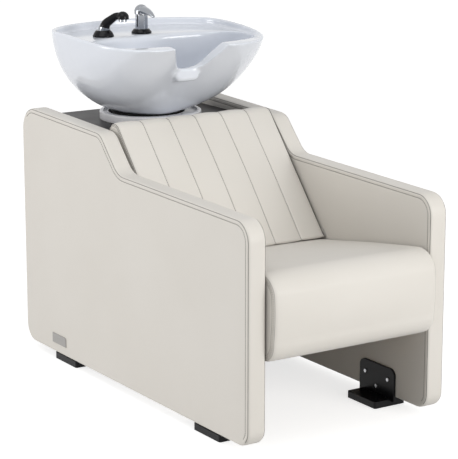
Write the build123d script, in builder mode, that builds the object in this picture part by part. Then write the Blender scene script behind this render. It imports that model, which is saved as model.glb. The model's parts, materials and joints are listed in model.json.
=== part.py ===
from build123d import *
import math
import os

# Backwash unit: two upholstered side panels carry a seat, a reclined back and a basin on a collar.
# Millimetres. X points to the occupant's left, Y to the rear, Z up, and the floor is at zero.
# Distances named "..._back" run rearward from the front edge of the side panels.

# Overall layout
panel_length = 1200.0
panel_thickness = 53.0
inner_width = 514.0
floor_gap = 25.0
seat_overhang = 36.0
basin_overhang = 20.0
overall_length = seat_overhang + panel_length + basin_overhang
front_y = seat_overhang - overall_length / 2
rear_y = front_y + panel_length
inner_x = inner_width / 2
outer_x = inner_x + panel_thickness
running_gap = 0.04
soft_gap = 0.3
overrun = 5.0

# Side panel outline
arm_front_height = 606.0
knee_back = 641.0
knee_height = 617.4
shoulder_back = 737.0
shoulder_height = 716.5
rear_height = 731.0
arm_nose_radius = 55.0
panel_toe_radius = 45.0
panel_heel_radius = 50.0
rear_nose_radius = 68.0
knee_radius = 70.0
shoulder_radius = 55.0
edge_softness = 8.0
cover_thickness = 11.0
slot_end_margin = 60.0

# Seat
seat_side_gap = 3.0
seat_bottom_height = 242.0
seat_front_top_height = 468.0
seat_front_top_back = 42.0
seat_crest_height = 441.0
seat_crest_back = 230.0
seat_break_height = 413.0
seat_break_back = 400.0
seat_rear_height = 387.0
seat_rear_back = 575.0
seat_toe_back = 12.0
seat_toe_bulge = 20.0
seat_toe_height = 262.0
seat_face_low_bulge = 31.0
seat_face_low_height = 300.0
seat_face_height = 372.0
seat_face_high_bulge = 33.0
seat_face_high_height = 425.0
seat_roll_bulge = 9.0
seat_roll_height = 457.0
seat_crown = 9.0
seat_side_draw = 7.0
seat_side_roll = 10.0
seat_roll_middle_share = 0.4
seat_draw_middle_share = 0.35
seat_crown_shares = (-1.0, -0.5, 0.0, 0.5, 1.0)
seat_board_thickness = 15.0
seat_board_set_back = 70.0
batten_width = 25.0
batten_height = 20.0
seat_batten_start_back = 300.0

# Back
back_angle = 49.2
back_thickness = 76.0
back_crest_back = 757.0
back_crest_height = 738.0
back_foot_clearance = 1.0
back_front_crown = 11.0
back_least_crown = 2.0
back_side_gap = 3.0
channel_count = 6
channel_width = 86.0
channel_depth = 3.5
channel_quarter_share = 0.25
channel_middle_share = 0.12
back_side_draw = 5.0
back_board_thickness = 18.0
back_batten_depth = 24.0

# Deck, covers and cross tubes
deck_height = 697.0
deck_thickness = 18.0
deck_front_back = 797.0
deck_rear_margin = 8.5
deck_batten_start_back = 850.0
deck_batten_end_margin = 40.0
cover_board_thickness = 15.0
inner_panel_back = 600.0
inner_panel_bottom = 60.0
rear_cover_bottom = 40.0
tube_size = 40.0
tube_wall = 2.0
tube_plate_length = 80.0
tube_plate_height = 50.0
tube_plate_front_height = 40.0
tube_plate_thickness = 4.0
front_tube_back = 250.0
rear_tube_back = 1100.0
rear_tube_height = 90.0
plate_screw_spacing = 60.0
screw_shank_radius = 2.5
screw_head_radius = 5.0
screw_head_height = 3.0
screw_length = 22.0
cover_screw_inset = 47.0
cover_screw_low = 90.0
cover_screw_high = 630.0

# Floor brackets
bracket_base_thickness = 19.0
bracket_base_length = 127.0
bracket_base_inset = 59.0
bracket_base_reach = 43.0
bracket_leaf_thickness = 6.0
bracket_leaf_length = 154.0
bracket_leaf_height = 104.0
bracket_corner_radius = 20.0
bracket_base_radius = 6.0
front_bracket_back = 210.5
rear_bracket_back = 978.0
bracket_screw_spread = 100.0
bracket_screw_high = 71.0
bracket_screw_low = 40.0
floor_hole_radius = 4.5
floor_hole_spacing = 80.0
floor_hole_inset = 33.0
pad_recess = 4.0
pad_radius = 14.0
pad_offset = 23.0

# Small plate on the occupant's right panel
plate_front_back = 953.0
plate_length = 81.0
plate_bottom = 53.5
plate_height = 28.5
plate_thickness = 2.0
plate_corner_radius = 9.0

# Collar and tilt hinge
foot_back = 1010.0
collar_back = 987.0
collar_radius = 148.0
collar_wall = 11.0
collar_height = 23.0
collar_shelf_drop = 6.0
collar_shelf_thickness = 3.0
collar_shelf_bore_radius = 112.0
deck_bore_radius = 92.0
tilt_base_thickness = 3.0
tilt_base_radius = 112.0
tilt_axis_offset = 100.0
tilt_axis_height = 710.0
tilt_pin_radius = 3.0
tilt_pin_half_length = 19.0
tilt_knuckle_radius = 6.0
tilt_knuckle_half_width = 12.0
tilt_ear_thickness = 4.0
tilt_ear_gap = 1.0
tilt_plate_thickness = 4.0
tilt_plate_radius = 104.0
tilt_plate_rear = 86.0
rest_pad_radius = 9.0
rest_pad_spread = 130.0
basin_bolt_spread = 110.0
basin_bolt_back = 1044.0
basin_bolt_radius = 4.0
basin_bolt_head_radius = 7.0
basin_bolt_head_height = 3.0
basin_bolt_depth = 9.0

# Basin
basin_bottom_height = 718.0
basin_side_rim_height = 960.0
basin_front_rim_height = 933.0
basin_rear_rim_height = 957.0
basin_half_width = 281.0
basin_widest_back = 1040.0
basin_front_reach = 343.0
basin_rear_reach = 180.0
basin_foot_share = 0.30
basin_front_foot_share = 0.39
basin_profile_power = 2.5
basin_profile_root = 1.4
basin_front_power = 0.87
basin_middle_power = 2.0
basin_front_squareness = 3.8
basin_rear_squareness = 1.85
basin_square_height_share = 0.15
basin_wall = 12.0
basin_floor_thickness = 22.0
basin_floor_lift = 14.0
basin_trim_height = 14.0
basin_trim_margin = 60.0
basin_dent_depth = 36.0
basin_dent_width = 75.0
basin_dent_share = 0.45
basin_section_shares = (0.0, 0.03, 0.09, 0.2, 0.38, 0.62, 0.86, 1.06)
deck_ledge_height = 938.0
cavity_rear_back = 985.0
cavity_squareness = 2.5
cavity_side_wall = 17.0
cavity_section_shares = (0.0, 0.06, 0.2, 0.5, 1.0)
pocket_front_back = 1001.0
pocket_widest_back = 1036.0
pocket_rear_wall = 14.0
pocket_width_share = 0.93
pocket_floor_height = 736.0
pocket_section_shares = (0.0, 0.12, 0.5, 1.0)
ledge_thickness = 12.0
foot_passage_radius = 20.0
foot_passage_back = 1050.0
outline_point_count = 48

# Neck notch and its rolled lip
notch_bottom_height = 864.0
notch_half_width = 92.0
notch_rise = 92.0
notch_width_shares = (0.27, 0.49, 0.62, 0.72, 0.82, 0.92, 1.0)
notch_rise_shares = (0.03, 0.14, 0.31, 0.45, 0.59, 0.76, 1.0)
notch_lead_back = 660.0
notch_reach = 190.0
lip_bottom_height = 827.0
lip_height = 43.0
lip_half_width = 41.0
lip_corner_radius = 20.0
lip_front_back = 777.0
lip_length = 70.0
lip_soft_radius = 10.0

# Waste
waste_back = 958.0
waste_bore_radius = 20.0
waste_flange_radius = 25.0
waste_flange_thickness = 2.5
waste_tube_bottom = 690.0
waste_tube_bore = 14.0
waste_nut_radius = 29.0
waste_nut_thickness = 10.0
waste_tail_wall = 3.0
waste_tail_top = 702.0
waste_tail_bottom = 620.0
strainer_radius = 17.0
strainer_seat_depth = 5.0
strainer_thickness = 2.0
strainer_hole_radius = 2.0
strainer_hole_circle = 11.0
strainer_hole_count = 8
strainer_knob_radius = 4.0
strainer_knob_height = 8.0

# Mixer tap
mixer_back = 1034.0
mixer_ring_radius = 29.5
mixer_ring_height = 12.5
mixer_ring_top_radius = 22.5
mixer_body_radius = 20.0
mixer_body_top = 991.0
mixer_flat_depth = 2.2
mixer_flat_count = 8
mixer_slot_angle = 198.0
mixer_slot_width = 4.6
mixer_slot_depth = 2.0
mixer_strip_depth = 1.5
mixer_slot_low = 6.0
mixer_shank_radius = 14.0
mixer_shank_length = 40.0
mixer_nut_radius = 24.0
mixer_nut_height = 10.0
mixer_stem_radius = 8.0
mixer_stem_depth = 14.0
mixer_collar_radius = 14.0
mixer_collar_height = 1.4
mixer_cap_gap = 1.8
mixer_cap_top = 1021.0
mixer_cap_radius = 20.5
mixer_cap_skirt = 8.0
mixer_beak_reach = 68.0
mixer_beak_tip_height = 991.5
mixer_beak_tip_width = 12.0
mixer_beak_tip_depth = 6.0
mixer_beak_middle_height = 1003.5
mixer_beak_middle_width = 26.0
mixer_beak_middle_depth = 17.0
mixer_beak_root_height = 1006.5
mixer_beak_root_width = 32.0
mixer_beak_root_depth = 21.0
mixer_lift_cut_angle = 22.0
mixer_lift_cut_back = 4.0
mixer_block_half_width = 5.5
mixer_block_front = 6.0
mixer_block_rear = 14.0
mixer_block_top = 1002.0
mixer_socket_side_gap = 0.8
mixer_socket_front = 16.0
mixer_socket_rear = 17.0
mixer_socket_top = 1004.5
mixer_hinge_radius = 2.0
mixer_hinge_half_length = 11.0
mixer_hinge_height = 998.8
mixer_hinge_back = 10.0

# Hand spray
spray_x = -132.0
spray_back = 1025.0
spray_base_radius = 30.5
spray_shoulder_radius = 27.0
spray_shoulder_height = 11.0
spray_neck_base_radius = 21.5
spray_base_height = 18.0
spray_shank_radius = 13.0
spray_shank_length = 38.0
spray_nut_radius = 22.0
spray_nut_height = 9.0
spray_lean = 15.0
spray_turn = -50.0
spray_collar_sink = 7.5
spray_collar_radius = 17.0
spray_collar_length = 17.5
spray_plug_radius = 9.0
spray_plug_length = 10.0
spray_neck_foot_radius = 14.5
spray_neck_end_radius = 9.5
spray_neck_bend_radius = 28.0
spray_neck_bend_angle = 39.0
spray_neck_run = 22.0
spray_head_reach = 55.0
spray_head_rise = 24.0
spray_head_radius = 18.0
spray_head_skirt = 5.0
spray_head_height = 22.5
spray_face_radius = 11.5
spray_face_thickness = 7.0


def fy(distance_back):
    """The Y place of a distance measured from the front edge of the panels."""
    return front_y + distance_back


def save(part, name):
    """Labels one finished piece and writes it under its own name."""
    part.label = name
    export_step(part, f"parts/{name}.step")


def bar(x_low, x_high, y_low, y_high, z_low, z_high):
    """A straight board or bar between two opposite corners."""
    with BuildPart() as piece:
        with BuildSketch(Plane.XY.offset(z_low)):
            with Locations(((x_low + x_high) / 2, (y_low + y_high) / 2)):
                Rectangle(x_high - x_low, y_high - y_low)
        extrude(amount=z_high - z_low)
    return piece.part


def upright_cylinder(x, y, z_low, radius, height):
    """A round piece that stands on a level plane."""
    with BuildPart() as piece:
        with BuildSketch(Plane.XY.offset(z_low)):
            with Locations((x, y)):
                Circle(radius)
        extrude(amount=height)
    return piece.part


def screw(x, y, z, toward):
    """A screw along X whose head stands on the plane at x and whose shank runs on in the given direction."""
    with BuildPart() as piece:
        with BuildSketch(Plane.YZ.offset(x)):
            with Locations((y, z)):
                Circle(screw_head_radius)
        extrude(amount=-toward * screw_head_height)
        with BuildSketch(Plane.YZ.offset(x)):
            with Locations((y, z)):
                Circle(screw_shank_radius)
        extrude(amount=toward * screw_length)
    return piece.part


# Side panels


def panel_line():
    """The closed outline of a side panel, seen from the side."""
    FilletPolyline(
        (fy(0), floor_gap),
        (fy(0), arm_front_height),
        (fy(knee_back), knee_height),
        (fy(shoulder_back), shoulder_height),
        (rear_y, rear_height),
        (rear_y, floor_gap),
        radius=[
            panel_toe_radius,
            arm_nose_radius,
            knee_radius,
            shoulder_radius,
            rear_nose_radius,
            panel_heel_radius,
        ],
        close=True,
    )


def screw_bores(side, places):
    """Bores for screws in the inner face of a panel, as solids to be cut away."""
    with BuildPart() as bores:
        with BuildSketch(Plane.YZ.offset(side * (inner_x - overrun))):
            for place in places:
                with Locations(place):
                    Circle(screw_shank_radius + running_gap)
        extrude(amount=side * (overrun + screw_length))
    return bores.part


def tube_screw_places():
    """The side view places of the screws that hold the end plates of the cross tubes."""
    places = []
    for back, height in ((front_tube_back, front_tube_height), (rear_tube_back, rear_tube_height)):
        for step in (-1, 1):
            places.append((fy(back) + step * plate_screw_spacing / 2, height))
    return places


def one_bracket_screw_places(back):
    """The side view places of the three screws in one floor bracket."""
    return [
        (fy(back) - bracket_screw_spread / 2, bracket_screw_high),
        (fy(back) + bracket_screw_spread / 2, bracket_screw_high),
        (fy(back), bracket_screw_low),
    ]


def bracket_screw_places():
    """The side view places of the screws in the front and rear floor brackets of one panel."""
    return one_bracket_screw_places(front_bracket_back) + one_bracket_screw_places(rear_bracket_back)


def panel_board(side):
    """The board inside a side panel."""
    with BuildPart() as board:
        with BuildSketch(Plane.YZ.offset(side * (inner_x + cover_thickness + soft_gap))):
            with BuildLine():
                panel_line()
            make_face()
            offset(amount=-(cover_thickness + soft_gap), mode=Mode.REPLACE)
        extrude(amount=side * (panel_thickness - 2 * (cover_thickness + soft_gap)))
        add(screw_bores(side, tube_screw_places() + bracket_screw_places()), mode=Mode.SUBTRACT)
    return board.part


def panel_cover(side):
    """The upholstery of a side panel: a soft shell round the board, open in a slot underneath."""
    with BuildPart() as cover:
        with BuildSketch(Plane.YZ.offset(side * inner_x)):
            with BuildLine():
                panel_line()
            make_face()
        extrude(amount=side * panel_thickness)
        fillet(cover.faces().filter_by(Axis.X).edges(), edge_softness)
        with BuildSketch(Plane.YZ.offset(side * (inner_x + cover_thickness))):
            with BuildLine():
                panel_line()
            make_face()
            offset(amount=-cover_thickness, mode=Mode.REPLACE)
            slot_low = floor_gap - overrun
            slot_high = floor_gap + 2 * cover_thickness
            with Locations(((front_y + rear_y) / 2, (slot_low + slot_high) / 2)):
                Rectangle(panel_length - 2 * slot_end_margin, slot_high - slot_low)
        extrude(amount=side * (panel_thickness - 2 * cover_thickness), mode=Mode.SUBTRACT)
        add(screw_bores(side, tube_screw_places() + bracket_screw_places()), mode=Mode.SUBTRACT)
    return cover.part


# Seat


def seat_section(x, crown, draw):
    """The seat cushion's outline at one station across its width, as a face."""
    face_plane = Plane.YZ.offset(x)
    with BuildSketch(face_plane) as section:
        with BuildLine():
            rear_low = (fy(seat_rear_back), seat_bottom_height)
            front_low = (fy(seat_toe_back) + draw, seat_bottom_height)
            face_low = (fy(-seat_face_low_bulge) + draw, seat_face_low_height)
            face_high = (fy(-seat_face_high_bulge) + draw, seat_face_high_height)
            front_top = (fy(seat_front_top_back), seat_front_top_height - draw)
            seat_break = (fy(seat_break_back), seat_break_height - draw)
            rear_top = (fy(seat_rear_back), seat_rear_height - draw)
            Line(rear_low, front_low)
            ThreePointArc(front_low, (fy(-seat_toe_bulge) + draw, seat_toe_height), face_low)
            ThreePointArc(face_low, (fy(-seat_overhang) + draw, seat_face_height), face_high)
            ThreePointArc(face_high, (fy(-seat_roll_bulge) + draw, seat_roll_height - draw), front_top)
            ThreePointArc(front_top, (fy(seat_crest_back), seat_crest_height + crown - draw), seat_break)
            Line(seat_break, rear_top)
            Line(rear_top, rear_low)
        make_face()
    return section.sketch


def seat_crown_at(x):
    """How far the middle of the seat's top stands up at one station."""
    reach = inner_x - seat_side_gap - seat_side_roll
    return seat_crown * (1 - (x / reach) ** 2)


def seat_cushion():
    """The seat cushion: crowned across, drawn in at its side seams, with a rolled front."""
    half = inner_x - seat_side_gap
    reach = half - seat_side_roll
    with BuildPart() as cushion:
        places = [reach * share for share in seat_crown_shares]
        loft(sections=[seat_section(place, seat_crown_at(place), 0) for place in places])
        for side in (-1, 1):
            edge = [
                (reach, 0, 0),
                (half - seat_side_roll * seat_roll_middle_share, 0, seat_side_draw * seat_draw_middle_share),
                (half, 0, seat_side_draw),
            ]
            loft(sections=[seat_section(side * x, crown, draw) for x, crown, draw in edge], ruled=True)
    return cushion.part


# Back

back_slope = math.radians(back_angle)
back_roll_radius = back_thickness / 2
back_roll_y = fy(back_crest_back)
back_roll_z = back_crest_height - back_roll_radius
back_out = (-math.sin(back_slope), math.cos(back_slope))
back_up = (math.cos(back_slope), math.sin(back_slope))
seat_fall = (seat_rear_height - seat_break_height) / (seat_rear_back - seat_break_back)


def back_point(along, out):
    """A side view point by its distance up the back and its distance out of the back's middle line."""
    y = back_roll_y + along * back_up[0] + out * back_out[0]
    z = back_roll_z + along * back_up[1] + out * back_out[1]
    return (y, z)


def back_foot_point(out):
    """Where a line parallel to the back meets the top of the seat, with its clearance."""
    y, z = back_point(0, out)
    foot_height = seat_break_height + back_foot_clearance
    drop = foot_height + seat_fall * (y - fy(seat_break_back)) - z
    along = drop / (back_up[1] - seat_fall * back_up[0])
    return back_point(along, out)


def back_level_point(out, height):
    """The point of a line parallel to the back at a given height."""
    z = back_point(0, out)[1]
    return back_point((height - z) / back_up[1], out)


def back_section(x, crown, sink):
    """The back pad's outline at one station across its width, as a face."""
    front = back_roll_radius - sink
    with BuildSketch(Plane.YZ.offset(x)) as section:
        with BuildLine():
            foot_front = back_foot_point(front)
            foot_rear = back_foot_point(-back_roll_radius)
            roll_front = back_point(0, front)
            roll_rear = back_point(0, -back_roll_radius)
            crest = (back_roll_y, back_crest_height - sink)
            half_turn = (back_slope) / 2
            front_mid = (back_roll_y - front * math.sin(half_turn), back_roll_z + front * math.cos(half_turn))
            rear_turn = (math.pi - back_slope) / 2
            rear_reach = back_roll_radius - sink / 2
            rear_mid = (
                back_roll_y + rear_reach * math.sin(rear_turn),
                back_roll_z + rear_reach * math.cos(rear_turn),
            )
            along = (foot_front[0] - back_roll_y - front * back_out[0]) / back_up[0]
            face_mid = back_point(along / 2, front + crown)
            ThreePointArc(foot_front, face_mid, roll_front)
            ThreePointArc(roll_front, front_mid, crest)
            ThreePointArc(crest, rear_mid, roll_rear)
            Line(roll_rear, foot_rear)
            Line(foot_rear, foot_front)
        make_face()
    return section.sketch


def back_crown_at(x):
    """How far the middle of the back stands out at one station."""
    return back_least_crown + back_front_crown * (1 - (x / inner_x) ** 2)


def back_pad():
    """The back pad: sewn channels side by side, rolled over the top, drawn in at the side seams."""
    half = inner_x - back_side_gap
    edges = [-half]
    for count in range(1, channel_count):
        edges.append((count - channel_count / 2) * channel_width)
    edges.append(half)
    with BuildPart() as pad:
        for left, right in zip(edges[:-1], edges[1:]):
            left_sink = back_side_draw if left == edges[0] else channel_depth
            right_sink = back_side_draw if right == edges[-1] else channel_depth
            middle = (left + right) / 2
            quarter = (right - left) / 4
            stations = [
                (left, left_sink),
                (left + quarter, left_sink * channel_quarter_share),
                (middle, channel_depth * channel_middle_share),
                (right - quarter, right_sink * channel_quarter_share),
                (right, right_sink),
            ]
            loft(sections=[back_section(x, back_crown_at(x), sink) for x, sink in stations])
    return pad.part


def back_board():
    """The board behind the back pad, cut level under the deck."""
    near = -back_roll_radius - soft_gap
    far = near - back_board_thickness
    with BuildPart() as board:
        with BuildSketch(Plane.YZ.offset(-inner_x)):
            with BuildLine():
                Polyline(
                    back_foot_point(near),
                    back_level_point(near, deck_low),
                    back_level_point(far, deck_low),
                    back_foot_point(far),
                    close=True,
                )
            make_face()
        extrude(amount=inner_width)
    return board.part


def back_batten(side):
    """A batten on a panel's inner face that carries one edge of the back board."""
    near = -back_roll_radius - soft_gap - back_board_thickness
    far = near - back_batten_depth
    low = seat_break_height + batten_width
    high = deck_height - deck_thickness
    with BuildPart() as batten:
        with BuildSketch(Plane.YZ.offset(side * inner_x)):
            with BuildLine():
                Polyline(
                    back_level_point(near, low),
                    back_level_point(near, high),
                    back_level_point(far, high),
                    back_level_point(far, low),
                    close=True,
                )
            make_face()
        extrude(amount=-side * batten_width)
    return batten.part


# Deck, inner covers and cross tubes

seat_board_low = seat_bottom_height - soft_gap - seat_board_thickness
front_tube_height = seat_board_low - tube_size / 2
deck_low = deck_height - deck_thickness


def service_deck():
    """The dark deck between the panels, bored for the waste and the collar's fixing."""
    with BuildPart() as deck:
        with BuildSketch(Plane.XY.offset(deck_height - deck_thickness)):
            deck_front = fy(deck_front_back)
            deck_rear = rear_y - deck_rear_margin
            with Locations((0, (deck_front + deck_rear) / 2)):
                Rectangle(inner_width, deck_rear - deck_front)
            with Locations((0, fy(foot_back))):
                Circle(deck_bore_radius, mode=Mode.SUBTRACT)
        extrude(amount=deck_thickness)
    return deck.part


def cross_tube(centre_back, centre_height, plate_height):
    """A square steel tube with a welded end plate at each panel."""
    y = fy(centre_back)
    tube_half = inner_x - tube_plate_thickness
    with BuildPart() as tube:
        with BuildSketch(Plane.YZ.offset(-tube_half)):
            with Locations((y, centre_height)):
                Rectangle(tube_size, tube_size)
                Rectangle(tube_size - 2 * tube_wall, tube_size - 2 * tube_wall, mode=Mode.SUBTRACT)
        extrude(amount=2 * tube_half)
        for side in (-1, 1):
            with BuildSketch(Plane.YZ.offset(side * tube_half)):
                with Locations((y, centre_height)):
                    Rectangle(tube_plate_length, plate_height)
                    with GridLocations(plate_screw_spacing, 0, 2, 1):
                        Circle(screw_shank_radius + running_gap, mode=Mode.SUBTRACT)
            extrude(amount=side * tube_plate_thickness)
    return tube.part


def rear_cover():
    """The plain cover board behind the plumbing space, bored for its four screws."""
    with BuildPart() as cover:
        cover_y = rear_y - deck_rear_margin
        with BuildSketch(Plane.XZ.offset(-cover_y)):
            cover_high = deck_height - deck_thickness
            with Locations((0, (rear_cover_bottom + cover_high) / 2)):
                Rectangle(inner_width, cover_high - rear_cover_bottom)
            for x, z in rear_cover_screw_places():
                with Locations((x, z)):
                    Circle(screw_shank_radius + running_gap, mode=Mode.SUBTRACT)
        extrude(amount=cover_board_thickness)
    return cover.part


def rear_cover_screw_places():
    """The rear view places of the four screws in the rear cover."""
    places = []
    for z in (cover_screw_low, cover_screw_high):
        for side in (-1, 1):
            places.append((side * (inner_x - cover_screw_inset), z))
    return places


def rear_cleat(side):
    """An upright cleat inside a panel that the rear cover is screwed to."""
    cover_front = rear_y - deck_rear_margin - cover_board_thickness
    x_low, x_high = sorted((side * inner_x, side * (inner_x - 2 * batten_width - batten_height)))
    with BuildPart() as cleat:
        with BuildSketch(Plane.XZ.offset(-cover_front)):
            cleat_high = deck_height - deck_thickness - batten_height
            low = rear_cover_bottom
            with Locations(((x_low + x_high) / 2, (low + cleat_high) / 2)):
                Rectangle(x_high - x_low, cleat_high - low)
            for x, z in rear_cover_screw_places():
                if x * side > 0:
                    with Locations((x, z)):
                        Circle(screw_shank_radius + running_gap, mode=Mode.SUBTRACT)
        extrude(amount=batten_height)
    return cleat.part


def rear_cover_screws():
    """Four screws that hold the rear cover to its cleats."""
    cover_y = rear_y - deck_rear_margin
    with BuildPart() as screws:
        for x, z in rear_cover_screw_places():
            with BuildSketch(Plane.XZ.offset(-cover_y)):
                with Locations((x, z)):
                    Circle(screw_head_radius)
            extrude(amount=-screw_head_height)
            with BuildSketch(Plane.XZ.offset(-cover_y)):
                with Locations((x, z)):
                    Circle(screw_shank_radius)
            extrude(amount=screw_length)
    return screws.part


# Floor brackets


def floor_bracket(side, centre_back):
    """A floor bracket: a thick base that runs under the panel, and a leaf up its inner face."""
    y = fy(centre_back)
    leaf_face = side * (inner_x - bracket_leaf_thickness)
    x_low, x_high = sorted((side * (inner_x - bracket_base_inset), side * (inner_x + bracket_base_reach)))
    with BuildPart() as bracket:
        with BuildSketch(Plane.XY):
            with Locations(((x_low + x_high) / 2, y)):
                RectangleRounded(x_high - x_low, bracket_base_length, bracket_base_radius)
        extrude(amount=bracket_base_thickness)
        with BuildSketch(Plane.YZ.offset(leaf_face)):
            with BuildLine():
                half = bracket_leaf_length / 2
                FilletPolyline(
                    (y - half, bracket_base_thickness - bracket_base_radius),
                    (y - half, bracket_leaf_height),
                    (y + half, bracket_leaf_height),
                    (y + half, bracket_base_thickness - bracket_base_radius),
                    radius=[0, bracket_corner_radius, bracket_corner_radius, 0],
                    close=True,
                )
            make_face()
        extrude(amount=side * bracket_leaf_thickness)
        with BuildSketch(Plane.XY.offset(-overrun)):
            with Locations((side * (inner_x - floor_hole_inset), y)):
                with GridLocations(0, floor_hole_spacing, 1, 2):
                    Circle(floor_hole_radius)
        extrude(amount=bracket_base_thickness + 2 * overrun, mode=Mode.SUBTRACT)
        with BuildSketch(Plane.YZ.offset(leaf_face - side * overrun)):
            for place in one_bracket_screw_places(centre_back):
                with Locations(place):
                    Circle(screw_shank_radius + running_gap)
        extrude(amount=side * (bracket_leaf_thickness + 2 * overrun), mode=Mode.SUBTRACT)
        with BuildSketch(Plane.XY):
            with Locations((side * (inner_x + pad_offset), y)):
                Circle(pad_radius)
        extrude(amount=pad_recess, mode=Mode.SUBTRACT)
    return bracket.part


def bracket_screws():
    """Three screws through the leaf of every floor bracket."""
    with BuildPart() as screws:
        for side in (-1, 1):
            for y, z in bracket_screw_places():
                add(screw(side * (inner_x - bracket_leaf_thickness), y, z, side))
    return screws.part


def tube_screws():
    """Two screws through each end plate of the cross tubes."""
    with BuildPart() as screws:
        for side in (-1, 1):
            for y, z in tube_screw_places():
                add(screw(side * (inner_x - tube_plate_thickness), y, z, side))
    return screws.part


def floor_pads():
    """Round rubber pads let into the undersides of the brackets, flush with the base."""
    with BuildPart() as pads:
        for side in (-1, 1):
            for back in (front_bracket_back, rear_bracket_back):
                with BuildSketch(Plane.XY):
                    with Locations((side * (inner_x + pad_offset), fy(back))):
                        Circle(pad_radius - running_gap)
                extrude(amount=pad_recess)
    return pads.part


def name_plate():
    """The small bare metal plate on the outer face of the right panel."""
    with BuildPart() as plate:
        with BuildSketch(Plane.YZ.offset(-outer_x)):
            plate_rear = plate_front_back + plate_length
            with BuildLine():
                FilletPolyline(
                    (fy(plate_front_back), plate_bottom),
                    (fy(plate_front_back), plate_bottom + plate_height),
                    (fy(plate_rear), plate_bottom + plate_height),
                    (fy(plate_rear), plate_bottom),
                    radius=[0, plate_corner_radius, 0, 0],
                    close=True,
                )
            make_face()
        extrude(amount=-plate_thickness)
    return plate.part


# Collar and tilt hinge

foot_y = fy(foot_back)
collar_y = fy(collar_back)
tilt_y = foot_y + tilt_axis_offset


def collar_ring():
    """The white collar that stands on the deck under the basin, with a shelf round the basin's foot."""
    with BuildPart() as ring:
        with BuildSketch(Plane.XY.offset(deck_height)):
            with Locations((0, collar_y)):
                Circle(collar_radius)
                Circle(collar_radius - collar_wall, mode=Mode.SUBTRACT)
        extrude(amount=collar_height)
        shelf_top = deck_height + collar_height - collar_shelf_drop
        with BuildSketch(Plane.XY.offset(shelf_top - collar_shelf_thickness)):
            with Locations((0, collar_y)):
                Circle(collar_radius - collar_wall / 2)
            with Locations((0, foot_y)):
                Circle(collar_shelf_bore_radius, mode=Mode.SUBTRACT)
        extrude(amount=collar_shelf_thickness)
        top_outer = ring.edges().group_by(Axis.Z)[-1].sort_by(SortBy.LENGTH)[-1]
        fillet(top_outer, collar_wall / 4)
    return ring.part


def tilt_bracket():
    """The fixed half of the tilt hinge: a base ring on the deck with two ears."""
    ear_inner = tilt_knuckle_half_width + tilt_ear_gap
    with BuildPart() as bracket:
        with BuildSketch(Plane.XY.offset(deck_height)):
            with Locations((0, foot_y)):
                Circle(tilt_base_radius)
                Circle(deck_bore_radius - tilt_base_thickness, mode=Mode.SUBTRACT)
        extrude(amount=tilt_base_thickness)
        for side in (-1, 1):
            with BuildSketch(Plane.YZ.offset(side * ear_inner)):
                with Locations((tilt_y, (deck_height + tilt_axis_height) / 2)):
                    Rectangle(2 * tilt_knuckle_radius, tilt_axis_height - deck_height)
                with Locations((tilt_y, tilt_axis_height)):
                    Circle(tilt_knuckle_radius)
                    Circle(tilt_pin_radius + running_gap / 2, mode=Mode.SUBTRACT)
            extrude(amount=side * tilt_ear_thickness)
    return bracket.part


def tilt_pin():
    """The pin of the tilt hinge."""
    with BuildPart() as pin:
        with BuildSketch(Plane.YZ.offset(-tilt_pin_half_length)):
            with Locations((tilt_y, tilt_axis_height)):
                Circle(tilt_pin_radius)
        extrude(amount=2 * tilt_pin_half_length)
    return pin.part


def basin_bolt_places():
    """The plan places of the bolts that hold the tilt plate under the basin."""
    return [(side * basin_bolt_spread / 2, fy(basin_bolt_back)) for side in (-1, 1)]


def tilt_plate():
    """The moving half of the tilt hinge: a plate under the basin's foot with a knuckle behind."""
    low = basin_bottom_height - tilt_plate_thickness
    with BuildPart() as plate:
        with BuildSketch(Plane.XY.offset(low)):
            with Locations((0, foot_y)):
                Circle(tilt_plate_radius)
            with Locations((0, foot_y + tilt_plate_rear + tilt_plate_radius)):
                Rectangle(2 * tilt_plate_radius, 2 * tilt_plate_radius, mode=Mode.SUBTRACT)
            with Locations((0, foot_y + (tilt_plate_rear + tilt_axis_offset) / 2)):
                Rectangle(2 * tilt_knuckle_half_width, tilt_axis_offset - tilt_plate_rear)
            with Locations((0, fy(waste_back))):
                Circle(waste_nut_radius + tilt_ear_gap, mode=Mode.SUBTRACT)
            with Locations((0, fy(foot_passage_back))):
                Circle(foot_passage_radius, mode=Mode.SUBTRACT)
            for place in basin_bolt_places():
                with Locations(place):
                    Circle(basin_bolt_radius + running_gap, mode=Mode.SUBTRACT)
        extrude(amount=tilt_plate_thickness)
        with BuildSketch(Plane.YZ.offset(-tilt_knuckle_half_width)):
            with Locations((tilt_y, tilt_axis_height)):
                Circle(tilt_knuckle_radius)
        extrude(amount=2 * tilt_knuckle_half_width)
        with BuildSketch(Plane.YZ.offset(-tilt_knuckle_half_width - overrun)):
            with Locations((tilt_y, tilt_axis_height)):
                Circle(tilt_pin_radius + running_gap)
        extrude(amount=2 * (tilt_knuckle_half_width + overrun), mode=Mode.SUBTRACT)
    return plate.part


def basin_bolts():
    """Two bolts up through the tilt plate into the basin's foot."""
    low = basin_bottom_height - tilt_plate_thickness
    with BuildPart() as bolts:
        for x, y in basin_bolt_places():
            head_low = low - basin_bolt_head_height
            add(upright_cylinder(x, y, head_low, basin_bolt_head_radius, basin_bolt_head_height))
            add(upright_cylinder(x, y, low, basin_bolt_radius, tilt_plate_thickness + basin_bolt_depth))
    return bolts.part


def tilt_rest_pads():
    """Two rubber rests under the front of the tilt plate."""
    base_top = deck_height + tilt_base_thickness
    rest_height = basin_bottom_height - tilt_plate_thickness - soft_gap - base_top
    with BuildPart() as pads:
        for side in (-1, 1):
            rest_y = foot_y - math.sqrt(rest_ring_radius**2 - (rest_pad_spread / 2) ** 2)
            add(upright_cylinder(side * rest_pad_spread / 2, rest_y, base_top, rest_pad_radius, rest_height))
    return pads.part


rest_ring_radius = deck_bore_radius - tilt_base_thickness + rest_pad_radius


# Basin


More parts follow.
